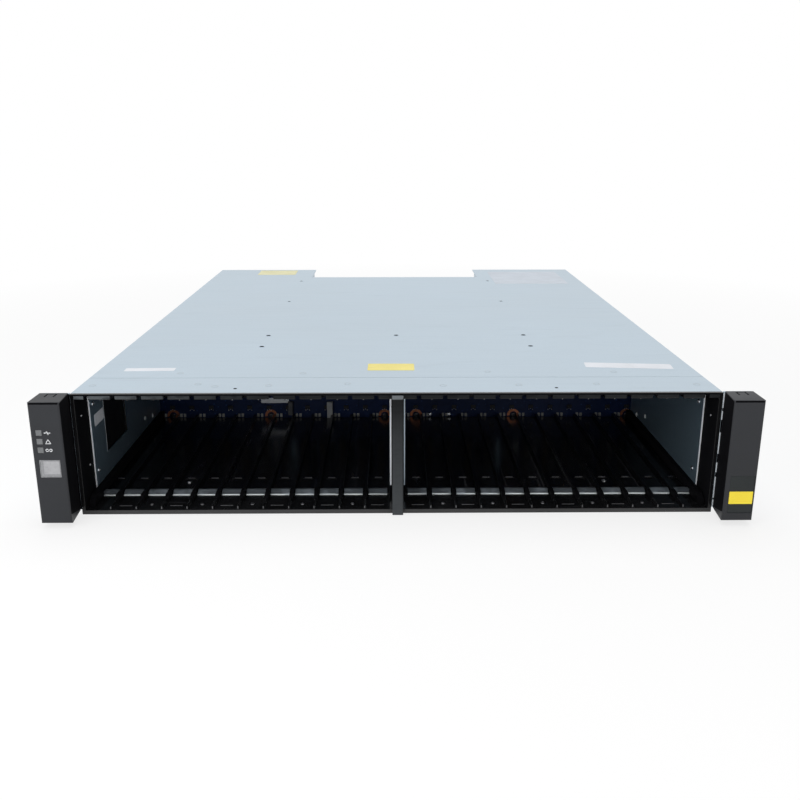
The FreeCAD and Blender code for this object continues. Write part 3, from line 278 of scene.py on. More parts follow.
def head(radius, height, recess, deep):
    """A domed screw head with a recess of the given outline."""
    shares = ((1.0, 0.0), (1.0, 0.45), (0.94, 0.72), (0.80, 0.93), (0.66, 1.0))
    bottom = [(u * 0.9, v * 0.9) for u, v in recess]
    return stack(*dome(radius, height, shares, len(recess)), (recess, height), (bottom, height - deep))


def rivet(radius, height):
    """A low domed rivet head with the dimple that its mandrel leaves."""
    rise = ((1.0, 0.0), (1.0, 0.25), (0.93, 0.55), (0.78, 0.82), (0.58, 0.97), (0.42, 1.0))
    fall = ((0.34, 0.86), (0.2, 0.62))
    return stack(*dome(radius, height, rise + fall, 28))


def chip(width, height, thickness):
    """A small moulded or sintered block with bevelled upper edges."""
    edge = min(width, height, thickness) * 0.2
    return plate(rounded(width, height, edge, 1), thickness, edge)


# Pieces

def add(name, data):
    """A new object in the scene."""
    made = bpy.data.objects.new(name, data)
    scene.collection.objects.link(made)
    return made


def piece(name, parts, material, body="chassis"):
    """One object from several solids, each with the matrix that puts it in its place."""
    points = []
    faces = []
    for (local, loops), matrix in parts:
        first = len(points)
        points += [matrix @ (Vector(p) / 1000) for p in local]
        faces += [tuple(first + k for k in loop) for loop in loops]
    mesh = bpy.data.meshes.new(name)
    mesh.from_pydata([tuple(p) for p in points], [], faces)
    mesh.update()
    mesh.polygons.foreach_set("use_smooth", [True] * len(mesh.polygons))
    mesh.set_sharp_from_angle(angle=SHARP)
    mesh.materials.append(material)
    made = add(name, mesh)
    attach(made, body)
    return made


# Materials

def new_node(tree, kind, operation=None, **values):
    """A shader node, with an operation where it has one and plain values on its inputs."""
    made = tree.nodes.new(f"ShaderNode{kind}")
    if operation:
        made.operation = operation
    for socket, value in values.items():
        made.inputs[socket.replace("_", " ")].default_value = value
    return made


class Recipe:
    """A material in the making: its shader, and shortcuts for the patterns that drive it."""

    # The colour sockets of a mix node, whose names occur more than once
    UNDER, LAYER, MIXED = 6, 7, 2

    def __init__(self, name, metal=0.0, **sockets):
        self.material = bpy.data.materials.new(name)
        self.material.use_nodes = True
        self.tree = self.material.node_tree
        self.shader = self.tree.nodes["Principled BSDF"]
        self.shader.inputs["Metallic"].default_value = metal
        for socket, value in sockets.items():
            self.shader.inputs[socket.replace("_", " ")].default_value = value
        self.place = new_node(self.tree, "TexCoord").outputs["Object"]
        self.height = None

    def fed(self, kind, source, socket, **values):
        """A node with one of its inputs linked to a source."""
        made = new_node(self.tree, kind, **values)
        self.tree.links.new(source, made.inputs[socket])
        return made

    def noise(self, scale, detail=3.0, stretch=None, distortion=0.0):
        """Cloudy noise, scale in features per metre, stretched along the axes for grain and scratches."""
        where = self.place
        if stretch:
            where = self.fed("Mapping", self.place, "Vector", Scale=stretch).outputs["Vector"]
        made = self.fed("TexNoise", where, "Vector", Scale=scale, Detail=detail, Distortion=distortion)
        return made.outputs["Fac"]

    def cells(self, scale):
        """Distance to the nearest of scattered points."""
        return self.fed("TexVoronoi", self.place, "Vector", Scale=scale).outputs["Distance"]

    def waves(self, scale, axis):
        """Even bands along an axis."""
        made = self.fed("TexWave", self.place, "Vector", Scale=scale)
        made.bands_direction = axis
        return made.outputs["Fac"]

    def ramp(self, factor, *stops):
        """Colours by a factor, stops given as place and colour."""
        made = self.fed("ValToRGB", factor, "Fac")
        elements = made.color_ramp.elements
        while len(elements) < len(stops):
            elements.new(0.5)
        for element, (where, colour) in zip(elements, stops):
            element.position = where
            element.color = (*colour, 1.0)
        return made.outputs["Color"]

    def clouds(self, factor, colour, low, high, start=0.3, end=0.7):
        """A colour made darker and paler by a factor."""
        return self.ramp(factor, (start, tint(colour, low)), (end, tint(colour, high)))

    def span(self, factor, low, high, start=0.0, end=1.0):
        """A number between two limits by a factor."""
        made = self.fed("MapRange", factor, "Value", From_Min=start, From_Max=end, To_Min=low, To_Max=high)
        return made.outputs["Result"]

    def along(self, axis, low, high):
        """How far a point lies along an axis between two places in metres, from nought to one."""
        split = self.fed("SeparateXYZ", self.place, "Vector")
        return self.span(split.outputs[axis], 0.0, 1.0, low, high)

    def maths(self, first, second, operation="MULTIPLY"):
        """A factor worked with another one, or with a plain number."""
        made = self.fed("Math", first, 0, operation=operation)
        if isinstance(second, float):
            made.inputs[1].default_value = second
        else:
            self.tree.links.new(second, made.inputs[1])
        return made.outputs["Value"]

    def over(self, under, layer, factor):
        """A plain colour laid over another colour by a factor."""
        made = self.fed("Mix", factor, "Factor")
        made.data_type = "RGBA"
        self.tree.links.new(under, made.inputs[self.UNDER])
        made.inputs[self.LAYER].default_value = (*layer, 1.0)
        return made.outputs[self.MIXED]

    def paint(self, colour):
        """Sets the surface colour."""
        self.tree.links.new(colour, self.shader.inputs["Base Color"])

    def gloss(self, factor, low, high, start=0.3, end=0.7):
        """Roughness between two limits."""
        self.tree.links.new(self.span(factor, low, high, start, end), self.shader.inputs["Roughness"])

    def relief(self, factor, strength, depth):
        """Adds fine relief, depth in millimetres."""
        made = self.fed("Bump", factor, "Height", Strength=strength, Distance=depth / 1000)
        if self.height is not None:
            self.tree.links.new(self.height, made.inputs["Normal"])
        self.height = made.outputs["Normal"]
        self.tree.links.new(self.height, self.shader.inputs["Normal"])


def tint(colour, share):
    """A colour made lighter or darker by a share."""
    return tuple(min(1.0, c * share) for c in colour)


def zinc(name, colour, metal, rough, scratch=0.25):
    """Plated sheet steel: soft clouds, fine grain across the sheet, thin handling scratches."""
    made = Recipe(name, metal)
    cloud = made.noise(7.0, 4.0)
    base = made.clouds(cloud, colour, 0.97, 1.03)
    speck = made.noise(900.0, 2.0)
    base = made.over(base, tint(colour, 0.86), made.span(speck, 0.0, 0.5, 0.56, 0.74))
    grain = made.noise(260.0, 2.0, stretch=(0.05, 1.0, 1.0))
    thin = made.noise(120.0, 1.0, stretch=(0.03, 2.2, 1.0), distortion=0.4)
    where = made.noise(16.0, 2.0)
    line = made.maths(made.span(thin, 0.0, scratch, 0.66, 0.72), made.span(where, 0.0, 1.0, 0.5, 0.62))
    base = made.over(base, tint(colour, 0.84), line)
    smudge = made.noise(38.0, stretch=(0.5, 1.6, 1.0), distortion=0.8)
    made.paint(made.over(base, tint(colour, 0.95), made.span(smudge, 0.0, 0.6, 0.6, 0.74)))
    made.gloss(made.maths(cloud, grain, "ADD"), rough - 0.04, rough + 0.05, 0.7, 1.3)
    made.relief(grain, 0.07, 0.02)
    made.relief(speck, 0.10, 0.015)
    return made.material


def powder(name, colour, rough, shine=0.3):
    """Powder coat: close orange peel, a little dust and thin pale rubs."""
    made = Recipe(name, Specular_IOR_Level=shine)
    peel = made.noise(1500.0, 2.0)
    cloud = made.noise(28.0, 4.0)
    base = made.clouds(cloud, colour, 0.8, 1.25, 0.35, 0.65)
    dust = made.noise(700.0)
    base = made.over(base, tint(colour, 4.0), made.span(dust, 0.0, 0.6, 0.64, 0.78))
    rub = made.noise(90.0, 2.0, stretch=(0.4, 2.0, 2.0), distortion=0.6)
    made.paint(made.over(base, tint(colour, 7.0), made.span(rub, 0.0, 0.5, 0.68, 0.76)))
    made.gloss(cloud, rough - 0.05, rough + 0.08)
    made.relief(peel, 0.08, 0.04)
    return made.material


def moulded(name, colour, rough, texture=0.3, size=1900.0, uneven=0.12, shine=0.3):
    """Moulded plastic with a spark-eroded surface and slight unevenness in gloss and colour."""
    made = Recipe(name, Specular_IOR_Level=shine)
    grain = made.noise(size, 2.0)
    cloud = made.noise(35.0)
    base = made.clouds(cloud, colour, 1 - uneven, 1 + uneven)
    made.paint(made.over(base, tint(colour, 1.5), made.span(grain, 0.0, 0.5, 0.55, 0.8)))
    made.gloss(cloud, rough - 0.05, rough + 0.08)
    made.relief(grain, texture, 0.04)
    return made.material


def glossy_black(name, colour, rough):
    """Smooth black moulding with dust, smears and long thin scratches from drives sliding in."""
    made = Recipe(name)
    smear = made.noise(30.0, 4.0, stretch=(2.5, 0.4, 1.0))
    dust = made.cells(420.0)
    base = made.clouds(smear, colour, 0.75, 1.3, 0.35, 0.7)
    spot = made.span(dust, 1.0, 0.0, 0.05, 0.12)
    rare = made.span(made.noise(140.0, 1.0), 0.0, 0.8, 0.58, 0.7)
    base = made.over(base, (0.16, 0.16, 0.17), made.maths(spot, rare))
    thin = made.noise(150.0, 1.0, stretch=(2.2, 0.03, 1.0), distortion=0.5)
    made.paint(made.over(base, (0.10, 0.10, 0.11), made.span(thin, 0.0, 0.45, 0.68, 0.74)))
    made.gloss(smear, rough - 0.06, rough + 0.12)
    made.relief(made.noise(240.0, 2.0), 0.06, 0.05)
    return made.material


def bright(name, colour, rough, marks=0.5, stretch=(1.0, 0.06, 1.0)):
    """Bright bare or plated metal with drawing marks and faint stains."""
    made = Recipe(name, 1.0)
    grain = made.noise(700.0, 2.0, stretch=stretch)
    stain = made.noise(60.0)
    base = made.clouds(stain, colour, 0.9, 1.05, 0.35, 0.65)
    made.paint(made.over(base, tint(colour, 0.72), made.span(grain, 0.0, marks, 0.56, 0.72)))
    made.gloss(grain, rough - 0.05, rough + 0.15 * marks)
    made.relief(grain, 0.3 * marks, 0.01)
    return made.material


def sprung(name, colour, rough):
    """Spring steel of the earthing strips, with light painted along their depth: a bright painted highlight
    on the lip's front, a dark band of painted shade just above it, then darker steel.
    """
    made = Recipe(name, 0.4)
    rise = made.along("Y", at(0, STRIP_FRONT, 0).y, at(0, STRIP_CREST, 0).y)
    # Painted light: bright at the lip's front, a band of painted shade above it, the rest darker
    base = made.ramp(rise, (0.0, tint(colour, 1.5)), (0.04, tint(colour, 1.4)), (0.07, tint(colour, 0.12)),
                     (0.16, tint(colour, 0.12)), (0.3, tint(colour, 0.2)))
    stain = made.noise(90.0)
    made.paint(made.over(base, tint(colour, 0.6), made.span(stain, 0.0, 0.5, 0.5, 0.7)))
    made.gloss(stain, rough - 0.05, rough + 0.06)
    made.relief(made.noise(700.0, 2.0, stretch=(0.06, 1.0, 1.0)), 0.04, 0.01)
    return made.material


def shaded_along(name, axis, shades, wear=0.6, shine=0.06):
    """Matt black or grey painted lighter or darker along an axis for light and shade, shades given as place
    and grey.
    """
    cool = (1.0, 1.09, 1.17)
    made = Recipe(name, Specular_IOR_Level=shine)
    low = shades[0][0]
    high = shades[-1][0]
    stops = [((place - low) / (high - low), tint(cool, grey)) for place, grey in shades]
    # The ramp paints light and shade into the colour along the axis
    base = made.ramp(made.along(axis, low / 1000, high / 1000), *stops)
    grain = made.noise(400.0, stretch=(0.3, 1.0, 1.0))
    made.paint(made.over(base, (0.005, 0.005, 0.006), made.span(grain, 0.0, wear, 0.5, 0.7)))
    made.gloss(grain, 0.5, 0.65)
    made.relief(grain, 0.1, 0.02)
    return made.material


def circuit(name, mask, trace):
    """Solder mask over copper: upright and cross runs of traces, small round vias, a glossy coat."""
    made = Recipe(name, Specular_IOR_Level=0.12, Coat_Weight=0.05, Coat_Roughness=0.2)
    cloud = made.noise(45.0)
    base = made.clouds(cloud, mask, 0.8, 1.2, 0.35, 0.65)
    fields = made.noise(70.0, 0.0)
    upright = made.maths(made.span(made.waves(330.0, "X"), 0.0, 1.0, 0.55, 0.7),
                         made.span(fields, 0.0, 1.0, 0.5, 0.52))
    level = made.maths(made.span(made.waves(330.0, "Z"), 0.0, 1.0, 0.55, 0.7),
                       made.span(fields, 1.0, 0.0, 0.46, 0.48))
    runs = made.maths(upright, level, "MAXIMUM")
    base = made.over(base, trace, made.maths(runs, 0.8))
    via = made.span(made.cells(210.0), 1.0, 0.0, 0.12, 0.16)
    made.paint(made.over(base, tint(trace, 1.8), via))
    made.gloss(cloud, 0.3, 0.45)
    made.relief(runs, 0.3, 0.04)
    return made.material


def paper(name, colour, wear=0.5):
    """A stuck-on label: paper fibre, faint yellowing, rubbed patches."""
    made = Recipe(name)
    fibre = made.noise(1300.0)
    cloud = made.noise(55.0)
    base = made.clouds(cloud, colour, 0.93, 1.03)
    rub = made.maths(made.span(made.noise(120.0, 4.0), 0.0, wear, 0.56, 0.72),
                     made.span(fibre, 0.2, 1.0, 0.4, 0.6))
    made.paint(made.over(base, tint(colour, 0.8), rub))
    made.gloss(fibre, 0.45, 0.62)
    made.relief(fibre, 0.12, 0.03)
    return made.material


def lens(name, colour, rough):
    """A moulded light guide or window: smooth, slightly clouded."""
    made = Recipe(name, Coat_Weight=0.4, Coat_Roughness=0.12)
    cloud = made.noise(220.0, 2.0)
    made.paint(made.clouds(cloud, colour, 0.9, 1.1))
    made.gloss(made.noise(600.0, 2.0), rough - 0.05, rough + 0.06)
    made.relief(cloud, 0.05, 0.03)
    return made.material


PLATED = zinc("plated_steel", (0.508, 0.598, 0.672), 0.7, 0.48, 0.15)
# Painted shade: a darker, bluer copy of the plated steel for the side plates, midplane carrier and shelf
# inside the cage
PLATED_INSIDE = zinc("plated_steel_inside", (0.26, 0.365, 0.45), 0.75, 0.36)
PLATED_MARK = zinc("plated_mark", (0.45, 0.52, 0.575), 0.7, 0.38)
MODULE = zinc("module_steel", (0.55, 0.58, 0.61), 0.8, 0.38, 0.15)
FRAME_BLACK = powder("frame_black", (0.008, 0.0082, 0.009), 0.2)
GUIDE_BLACK = glossy_black("guide_black", (0.0065, 0.007, 0.008), 0.16)
SPRING = sprung("spring_steel", (0.64, 0.73, 0.82), 0.42)
CAP = moulded("cap_grey", (0.0222, 0.0237, 0.0275), 0.5)
BLUE = circuit("board_blue", (0.0045, 0.011, 0.042), (0.010, 0.023, 0.075))
GREEN = circuit("board_green", (0.006, 0.045, 0.020), (0.018, 0.10, 0.045))
SCREW = bright("screw_steel", (0.60, 0.61, 0.63), 0.26)
SOCKET = moulded("socket_black", (0.012, 0.012, 0.013), 0.5)
LIGHT = lens("light_grey", (0.125, 0.13, 0.135), 0.3)
GLASS = lens("display_glass", (0.24, 0.245, 0.255), 0.25)
PANEL = lens("display_panel", (0.335, 0.337, 0.35), 0.3)
FAN = moulded("fan_black", (0.014, 0.014, 0.014), 0.42)
PORT = bright("port_steel", (0.66, 0.66, 0.66), 0.22)
LEVER = moulded("lever_plastic", (0.02, 0.02, 0.022), 0.42)
YELLOW = paper("label_yellow", (0.77, 0.67, 0.21))
CREAM = paper("label_cream", (0.71, 0.68, 0.42))
WHITE = paper("label_white", (0.72, 0.745, 0.79))
PALE = paper("label_pale", (0.54, 0.59, 0.655), 0.3)
BADGE = moulded("badge_yellow", (1.0, 0.78, 0.055), 0.4, 0.08, uneven=0.02)
INK = paper("mark_white", (0.72, 0.73, 0.75), 0.2)
FILM = moulded("film_black", (0.008, 0.008, 0.009), 0.4)
COPPER = bright("copper_pad", (0.28, 0.115, 0.065), 0.42)
GOLD = bright("contact_gold", (0.72, 0.50, 0.17), 0.22)
CERAMIC = moulded("ceramic_pale", (0.32, 0.32, 0.31), 0.5)
INSET = moulded("badge_ground", (0.016, 0.020, 0.021), 0.42)
# Near-black without shine, laid as painted shade in hollows, seams and gaps, and as a painted dark
# reflection on the ears' top front edges
EDGE = moulded("painted_shade_black", (0.005, 0.005, 0.006), 0.6, shine=0.0)
SIDE_BLACK = moulded("side_black", (0.006, 0.006, 0.007), 0.5, shine=0.01)
# Painted highlight: pale strips laid on edges for the light they catch
GLINT_PALE = zinc("glint_pale", (0.90, 0.92, 0.95), 0.1, 0.45)
# Painted highlight: the side plates' rivets painted near white for the shine they catch
PALE_RIVET = zinc("pale_rivet", (0.95, 0.96, 0.97), 0.1, 0.3)
SILL_GREY = moulded("sill_grey", (0.042, 0.0425, 0.0435), 0.5)
# Painted light on the divider's bar: darker towards the top for the shade under the head, and a painted
# highlight on the sloped top face above 84.9 mm
BAR_SHADES = (
    (0.0, 0.060), (11.0, 0.053), (23.0, 0.045), (34.0, 0.041), (46.0, 0.034), (57.0, 0.0295),
    (68.0, 0.0195), (76.0, 0.0122), (84.7, 0.0075), (84.9, 0.13), (86.5, 0.13),
)
BAR = shaded_along("divider_grey", "Z", BAR_SHADES, 0.08, 0.1)
# Painted light on the head's bars: paler towards the left end where the key lamp falls, dark in the middle
# and right for the shade under the cover's edge
HEAD_SHADES = (
    (-HEAD_REACH, 0.115), (-180, 0.058), (-130, 0.026), (-90, 0.012), (90, 0.014), (HEAD_REACH, 0.019),
)
HEAD_BLACK = shaded_along("head_black", "X", HEAD_SHADES)
DARK_SCREW = bright("dark_screw", (0.05, 0.05, 0.055), 0.3)
SILL_SCREW = bright("sill_screw", (0.30, 0.30, 0.32), 0.3)
GREY_BLOCK = moulded("grey_block", (0.07, 0.072, 0.078), 0.5)
PALE_BLOCK = moulded("pale_block", (0.34, 0.345, 0.35), 0.5)
PALE_BLACK = powder("pale_black", (0.11, 0.112, 0.118), 0.3)

SLOTS = {
    "plated_steel": PLATED, "frame_black": FRAME_BLACK, "guide_black": GUIDE_BLACK, "spring_steel": SPRING,
    "cap_grey": CAP, "board_blue": BLUE, "board_green": GREEN, "screw_steel": SCREW, "socket_black": SOCKET,
    "light_grey": LIGHT, "display_glass": GLASS, "module_steel": MODULE, "fan_black": FAN,
    "port_steel": PORT, "lever_plastic": LEVER,
}
OWN_FINISH = {
    "side_plate_left": PLATED_INSIDE, "side_plate_right": PLATED_INSIDE, "midplane_carrier": PLATED_INSIDE,
    "module_shelf": PLATED_INSIDE, "divider_cap": BAR,
}


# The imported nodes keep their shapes: they get softened edges and their finish

EDGE_WIDTHS = {
    "ear_cap_left": 0.8, "ear_cap_right": 0.8, "divider_cap": 0.6, "front_frame": 0.35,
    "lower_guide_left": 0.35, "lower_guide_right": 0.35, "top_cover": 0.05, "front_top_strip": 0.05,
    "chassis_tray": 0.03,
}
PLAIN_EDGE = 0.2
WELD_REACH = 0.01


def soften(node, width):
    """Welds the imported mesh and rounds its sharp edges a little."""
    weld = node.modifiers.new("weld", "WELD")
    weld.merge_threshold = WELD_REACH / 1000
    edge = node.modifiers.new("edge", "BEVEL")
    edge.width = width / 1000
    edge.segments = 2
    edge.limit_method = "ANGLE"
    edge.angle_limit = SHARP
    edge.use_clamp_overlap = True
    edge.harden_normals = True


def dress_nodes():
    """Gives every node the finish of its slot in the record, or one of its own, and softened edges."""
    for part in frame["record"]["subparts"]:
        name = part["node"]
        node = nodes[name]
        node.data.materials.clear()
        node.data.materials.append(OWN_FINISH.get(name, SLOTS[part["material_slot"]]))
        soften(node, EDGE_WIDTHS.get(name, PLAIN_EDGE))


dress_nodes()


# Small pieces on the cover and the side walls

COVER_RIVETS = [(0, 181)] + [(side * 111, y) for side in SIDES for y in (139, 181, 345, 480)]
FRONT_RIVETS_END = 200
STRIP_DIMPLES = [(-112, 13.2), (110, 13.2)]
WELD_MARKS = [
    (-213, 22), (-140, 25), (-90, 21), (-35, 25), (32, 20), (85, 21), (140, 23), (210, 21),
    (-127, 19), (-159, 55), (-69, 54), (67, 57), (160, 56),
]
SIDE_MARKS = [(y, z) for y in (75, 150, 225, 300, 375, 450) for z in (14, 74)]
# Name, middle, size with the radius of the corners, finish, and turn in degrees
LABELS = (
    ("label_front_yellow", (-4.5, 71.5), (35, 20, 1.2), YELLOW, 0.5),
    ("label_rear_yellow", (-147, 549), (47, 36, 1.2), CREAM, 0.0),
    ("label_front_white", (-184.0, 65.5), (37, 8.6, 0.8), WHITE, -1.5),
    ("label_side_white", (175.2, 73.6), (65, 14.5, 1.5), WHITE, 5.5),
    ("label_rear_pale", (161, 506), (86, 95, 2.0), PALE, 0.0),
)
SEAM_DROP = 0.4


def cover_pieces():
    """Rivet heads with dark discs painted as shade in their dimples, spot-weld marks, the blank labels, and
    a dark strip painted as shade in the seam.
    """
    heads = piece("cover_rivet_heads", [(rivet(2.7, 0.3), on_top(x, y)) for x, y in COVER_RIVETS], PLATED)
    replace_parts(heads, "cover_rivets")
    # Painted shade: dark discs in the rivets' dimples and two on the front strip
    dimple_shade = [(disc(1.9 if y < FRONT_RIVETS_END else 1.5, 0.32, 0.04), on_top(x, y))
               for x, y in COVER_RIVETS]
    dimple_shade += [(disc(1.2, 0.1, 0.04), on_top(x, y)) for x, y in STRIP_DIMPLES]
    piece("rivet_dimple_shade", dimple_shade, EDGE)
    ring = washer(1.7, 2.6, 0.1)
    marks = [(ring, on_top(x, y)) for x, y in WELD_MARKS]
    piece("weld_marks", marks, PLATED_MARK)
    for name, middle, size, finish, turn in LABELS:
        piece(name, [(plate(rounded(*size), *LABEL_SHEET), on_top(*middle, turn=turn))], finish)
    # Painted shade: a dark strip sunk in the gap between the cover and the front strip
    seam_shade = trim(440.0, 0.3, 0.1, (0.2, 0.05))
    piece("cover_seam_shade", [(seam_shade, on_top(0, SEAM_MIDDLE, COVER_TOP - SEAM_DROP))], EDGE)
    marks = [(ring, on_side(side * SIDE_FACE, y, z, side)) for side in SIDES for y, z in SIDE_MARKS]
    piece("side_weld_marks", marks, PLATED_MARK)


# Small pieces on the midplane, places as distance from the middle and height

BOARD_SCREWS = [(x, z) for x in (18.6, 109.2, 214.6, -206.6, -116.0, -10.6) for z in (5.4, 81.3)]
BOARD_MIDDLE = 40
# Components at each bay: shift from the bay's middle, height, and size
PAIR = (2.2, 3.2, 0.9)
GRAIN = (0.6, 1.0, 0.4)
PALE_PARTS = (
    (-6.4, 5.8, PAIR), (-3.0, 5.8, PAIR), (2.1, 10.6, GRAIN), (3.8, 11.6, GRAIN), (5.5, 10.6, GRAIN),
)
DARK_PARTS = ((3.8, 13.5, (4.4, 3.2, 1.0)),)
BOARD_BLOCKS = (
    ("board_block_pale", (5.2, 15.6), (-61.3, 11.4), PALE_BLOCK),
    ("board_block_dark", (4.4, 13.0), (-97.6, 13.0), GREY_BLOCK),
)
BOARD_STUDS = ((31.5, 6.2), (49.3, 6.2))
BOARD_LABEL = (-112, 19.9)
TONGUE_WIDTH = 1.2
TONGUE_ROOT = 208.5
TONGUE_HEIGHT = 46.5
CONTACT_DEPTH = 206.4
CONTACT_PITCH = 2.5
CONTACT_STEPS = range(-7, 8)


def on_board(x, z):
    """A spot on the midplane's front."""
    return on_front(x, BOARD_FRONT, z)


def land(way, inner=3.3, outer=5.7, sweep=200, lead=10, steps=28):
    """A copper land round the inner half of a screw's seat, way 1 above the screw and -1 below it."""
    turns = [math.radians(way * (sweep * k / steps - lead)) for k in range(steps + 1)]
    outline = [(outer * math.cos(a), outer * math.sin(a)) for a in turns]
    outline += [(inner * math.cos(a), inner * math.sin(a)) for a in reversed(turns)]
    return plate(outline if way > 0 else outline[::-1], *LAND_SHEET)


def at_each_bay(parts):
    """Small components, the same ones at every bay."""
    return [(chip(*size), on_board(x + shift, z)) for x in bay_middles() for shift, z, size in parts]


def midplane_pieces():
    """Screws on copper lands, small components at each bay, and the few larger ones."""
    screw = head(2.6, 1.6, star(1.3), 1.0)
    screws = [(screw, on_board(x, z)) for x, z in BOARD_SCREWS]
    lands = [(land(1 if z < BOARD_MIDDLE else -1), on_board(x, z)) for x, z in BOARD_SCREWS]
    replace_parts(piece("board_screw_heads", screws, DARK_SCREW), "board_screws")
    piece("screw_lands", lands, COPPER)
    piece("board_components", at_each_bay(PALE_PARTS), CERAMIC)
    piece("board_chips", at_each_bay(DARK_PARTS), SOCKET)
    for name, size, place, finish in BOARD_BLOCKS:
        piece(name, [(plate(rounded(*size, 0.6), 4.0, 0.4), on_board(*place))], finish)
    studs = [(rivet(2.1, 1.8), on_board(*place)) for place in BOARD_STUDS]
    piece("board_studs", studs, SCREW)
    tag = plate(rounded(25.6, 4.9, 0.4), *LABEL_SHEET)
    piece("board_label", [(tag, on_board(*BOARD_LABEL))], WHITE)


def socket_pieces():
    """A contact tongue with gilt contacts in each drive connector."""
    tongue = trim(TONGUE_WIDTH, 38.0, 0.3, (3.8, 0.3))
    contact = chip(3.0, 1.1, 0.12)
    tongues = []
    contacts = []
    for x in bay_middles():
        tongues.append((tongue, on_front(x, TONGUE_ROOT, TONGUE_HEIGHT)))
        for way in SIDES:
            for step in CONTACT_STEPS:
                height = TONGUE_HEIGHT + CONTACT_PITCH * step
                contacts.append((contact, on_side(x + way * TONGUE_WIDTH / 2, CONTACT_DEPTH, height, way)))
    piece("socket_tongues", tongues, SOCKET)
    piece("socket_contacts", contacts, GOLD)


# Small pieces in the drive cage, places on its sides as depth and height

PLATE_SCREWS = {-1: [(33, 71.5), (32.2, 21)], 1: [(35.5, 71.3), (36, 19.4)]}
PLATE_RIVETS = {-1: [(159, 20.2), (183, 15)], 1: [(163, 19), (189, 12.4)]}
PLATE_LABEL = (43.7, 58.3)
PLATE_EDGE_HEIGHT = 43.2
POST_DOTS = {-1: [(10.7, 69.6), (17.9, 30.7)], 1: [(12.3, 68)]}
POST_MIDDLE = (13.0, 43.8)
# The opening in the left side plate
OPENING_FRONT = 55.2
OPENING_MIDDLE = 81.2
OPENING_BACK = 107.0
OPENING_HEIGHT = 49.0
OPENING_EDGE = -218.6
# Outlines of the rail at the foot of a side plate and of the nose of a guide rib
RAIL = [
    (6.0, 3.25), (26.3, 3.25), (26.3, 6.3), (34.4, 6.3), (34.4, 4.05), (209.5, 4.05), (209.5, 10.6),
    (11.0, 10.6), (6.0, 7.0),
]
RAIL_WIDTH = 4.05
RIB_NOSE = [(16.0, SILL_TOP), (26.3, SILL_TOP), (26.3, 7.0), (19.5, 7.0), (16.0, 5.2)]
RIB_WIDTH = 2.6
RIB_END = (0.72, 2.0)
GUIDE_SCREW = (157, 50)
SLOT_DEPTH = 58.2
SILL_PAD_DEPTH = 7.6
SILL_SCREW_DEPTH = 9.9
SILL_BAND_HEIGHT = 1.6
# The divider, across from its middle
DIVIDER_JOINT_SHADES = (-4.05, 4.35)
DIVIDER_HEIGHT = 44.0
DIVIDER_FOOT = 10.0
DIVIDER_LEGS = (-4.55, 4.55)
DIVIDER_EDGE = (1.05, 74.0)
DIVIDER_EDGE_PLACE = -4.92
# The head of the frame, with a notch over each bay
HEAD_START = 2.6
HALF_NOTCH = 1.65
HEAD_BAND_HEIGHT = 87.2
HEAD_BAR_HEIGHT = 85.5
PIP_HEIGHT = 83.2


def cage_pieces():
    """Screws and rivets in the side plates, posts and sill, and what fills the left plate's opening."""
    plate_screw = head(1.7, 0.8, cross(0.9), 0.5)
    post_dot = head(0.9, 0.5, cross(0.5), 0.3)
    guide_screw = head(2.0, 0.7, cross(1.0), 0.5)
    plate_rivet = rivet(1.9, 0.6)
    guide_x, guide_y = GUIDE_SCREW
    screws = []
    rivets = []
    for side in SIDES:
        screws += [(plate_screw, inward(PLATE_FACE, side, y, z)) for y, z in PLATE_SCREWS[side]]
        screws += [(post_dot, inward(POST_FACE, side, y, z)) for y, z in POST_DOTS[side]]
        rivets += [(plate_rivet, inward(PLATE_FACE, side, y, z)) for y, z in PLATE_RIVETS[side]]
        screws.append((guide_screw, on_top(side * guide_x, guide_y, GUIDE_FLOOR)))
    piece("cage_screws", screws, SCREW)
    sill_screw = head(1.4, 0.5, cross(0.8), 0.3)
    screws = [(sill_screw, on_top(x, SILL_SCREW_DEPTH, SILL_TOP)) for x in bay_middles(1, BAYS - 1, 2)]
    piece("sill_screws", screws, SILL_SCREW)
    # The side plates' rivets carry a painted highlight
    piece("plate_rivets", rivets, PALE_RIVET)
    pad = trim(9.0, 0.6, 0.25, PAD_SHEET)
    pads = [(pad, on_top(x, SILL_PAD_DEPTH, SILL_TOP)) for x in bay_middles(step=2)]
    piece("sill_pads", pads, PALE_BLACK)
    film = plate(rounded(55.0, 48.0, 1.0), *PAD_SHEET)
    piece("plate_film", [(film, inward(WALL_FACE, -1, OPENING_MIDDLE, OPENING_HEIGHT))], FILM)
    rim = trim(1.1, 45.0, 0.2, EDGE_SHEET)
    piece("plate_film_edge", [(rim, on_front(OPENING_EDGE, OPENING_BACK, OPENING_HEIGHT))], FILM)
    tag = plate(rounded(20.5, 8.7, 0.8), *LABEL_SHEET)
    piece("plate_label", [(tag, inward(PLATE_FACE, -1, *PLATE_LABEL))], WHITE)


def rail_pieces():
    """Black rails along the foot of the side plates, noses of the guide ribs, matt linings of the posts."""
    rails = [(plate(RAIL if side < 0 else mirrored(RAIL), RAIL_WIDTH, 0.4), inward(RAIL_FACE, side, 0, 0))
             for side in SIDES]
    piece("guide_rails", rails, SIDE_BLACK)
    nose = plate(RIB_NOSE, RIB_WIDTH, 0.2)
    noses = [(nose, on_side(x - RIB_WIDTH / 2, 0, 0, 1)) for x in boundaries()]
    piece("rib_noses", noses, SIDE_BLACK)
    lining = trim(25.2, 80.4, 0.3, FILM_SHEET)
    linings = [(lining, inward(POST_FACE, side, *POST_MIDDLE)) for side in SIDES]
    piece("post_linings", linings, SIDE_BLACK)


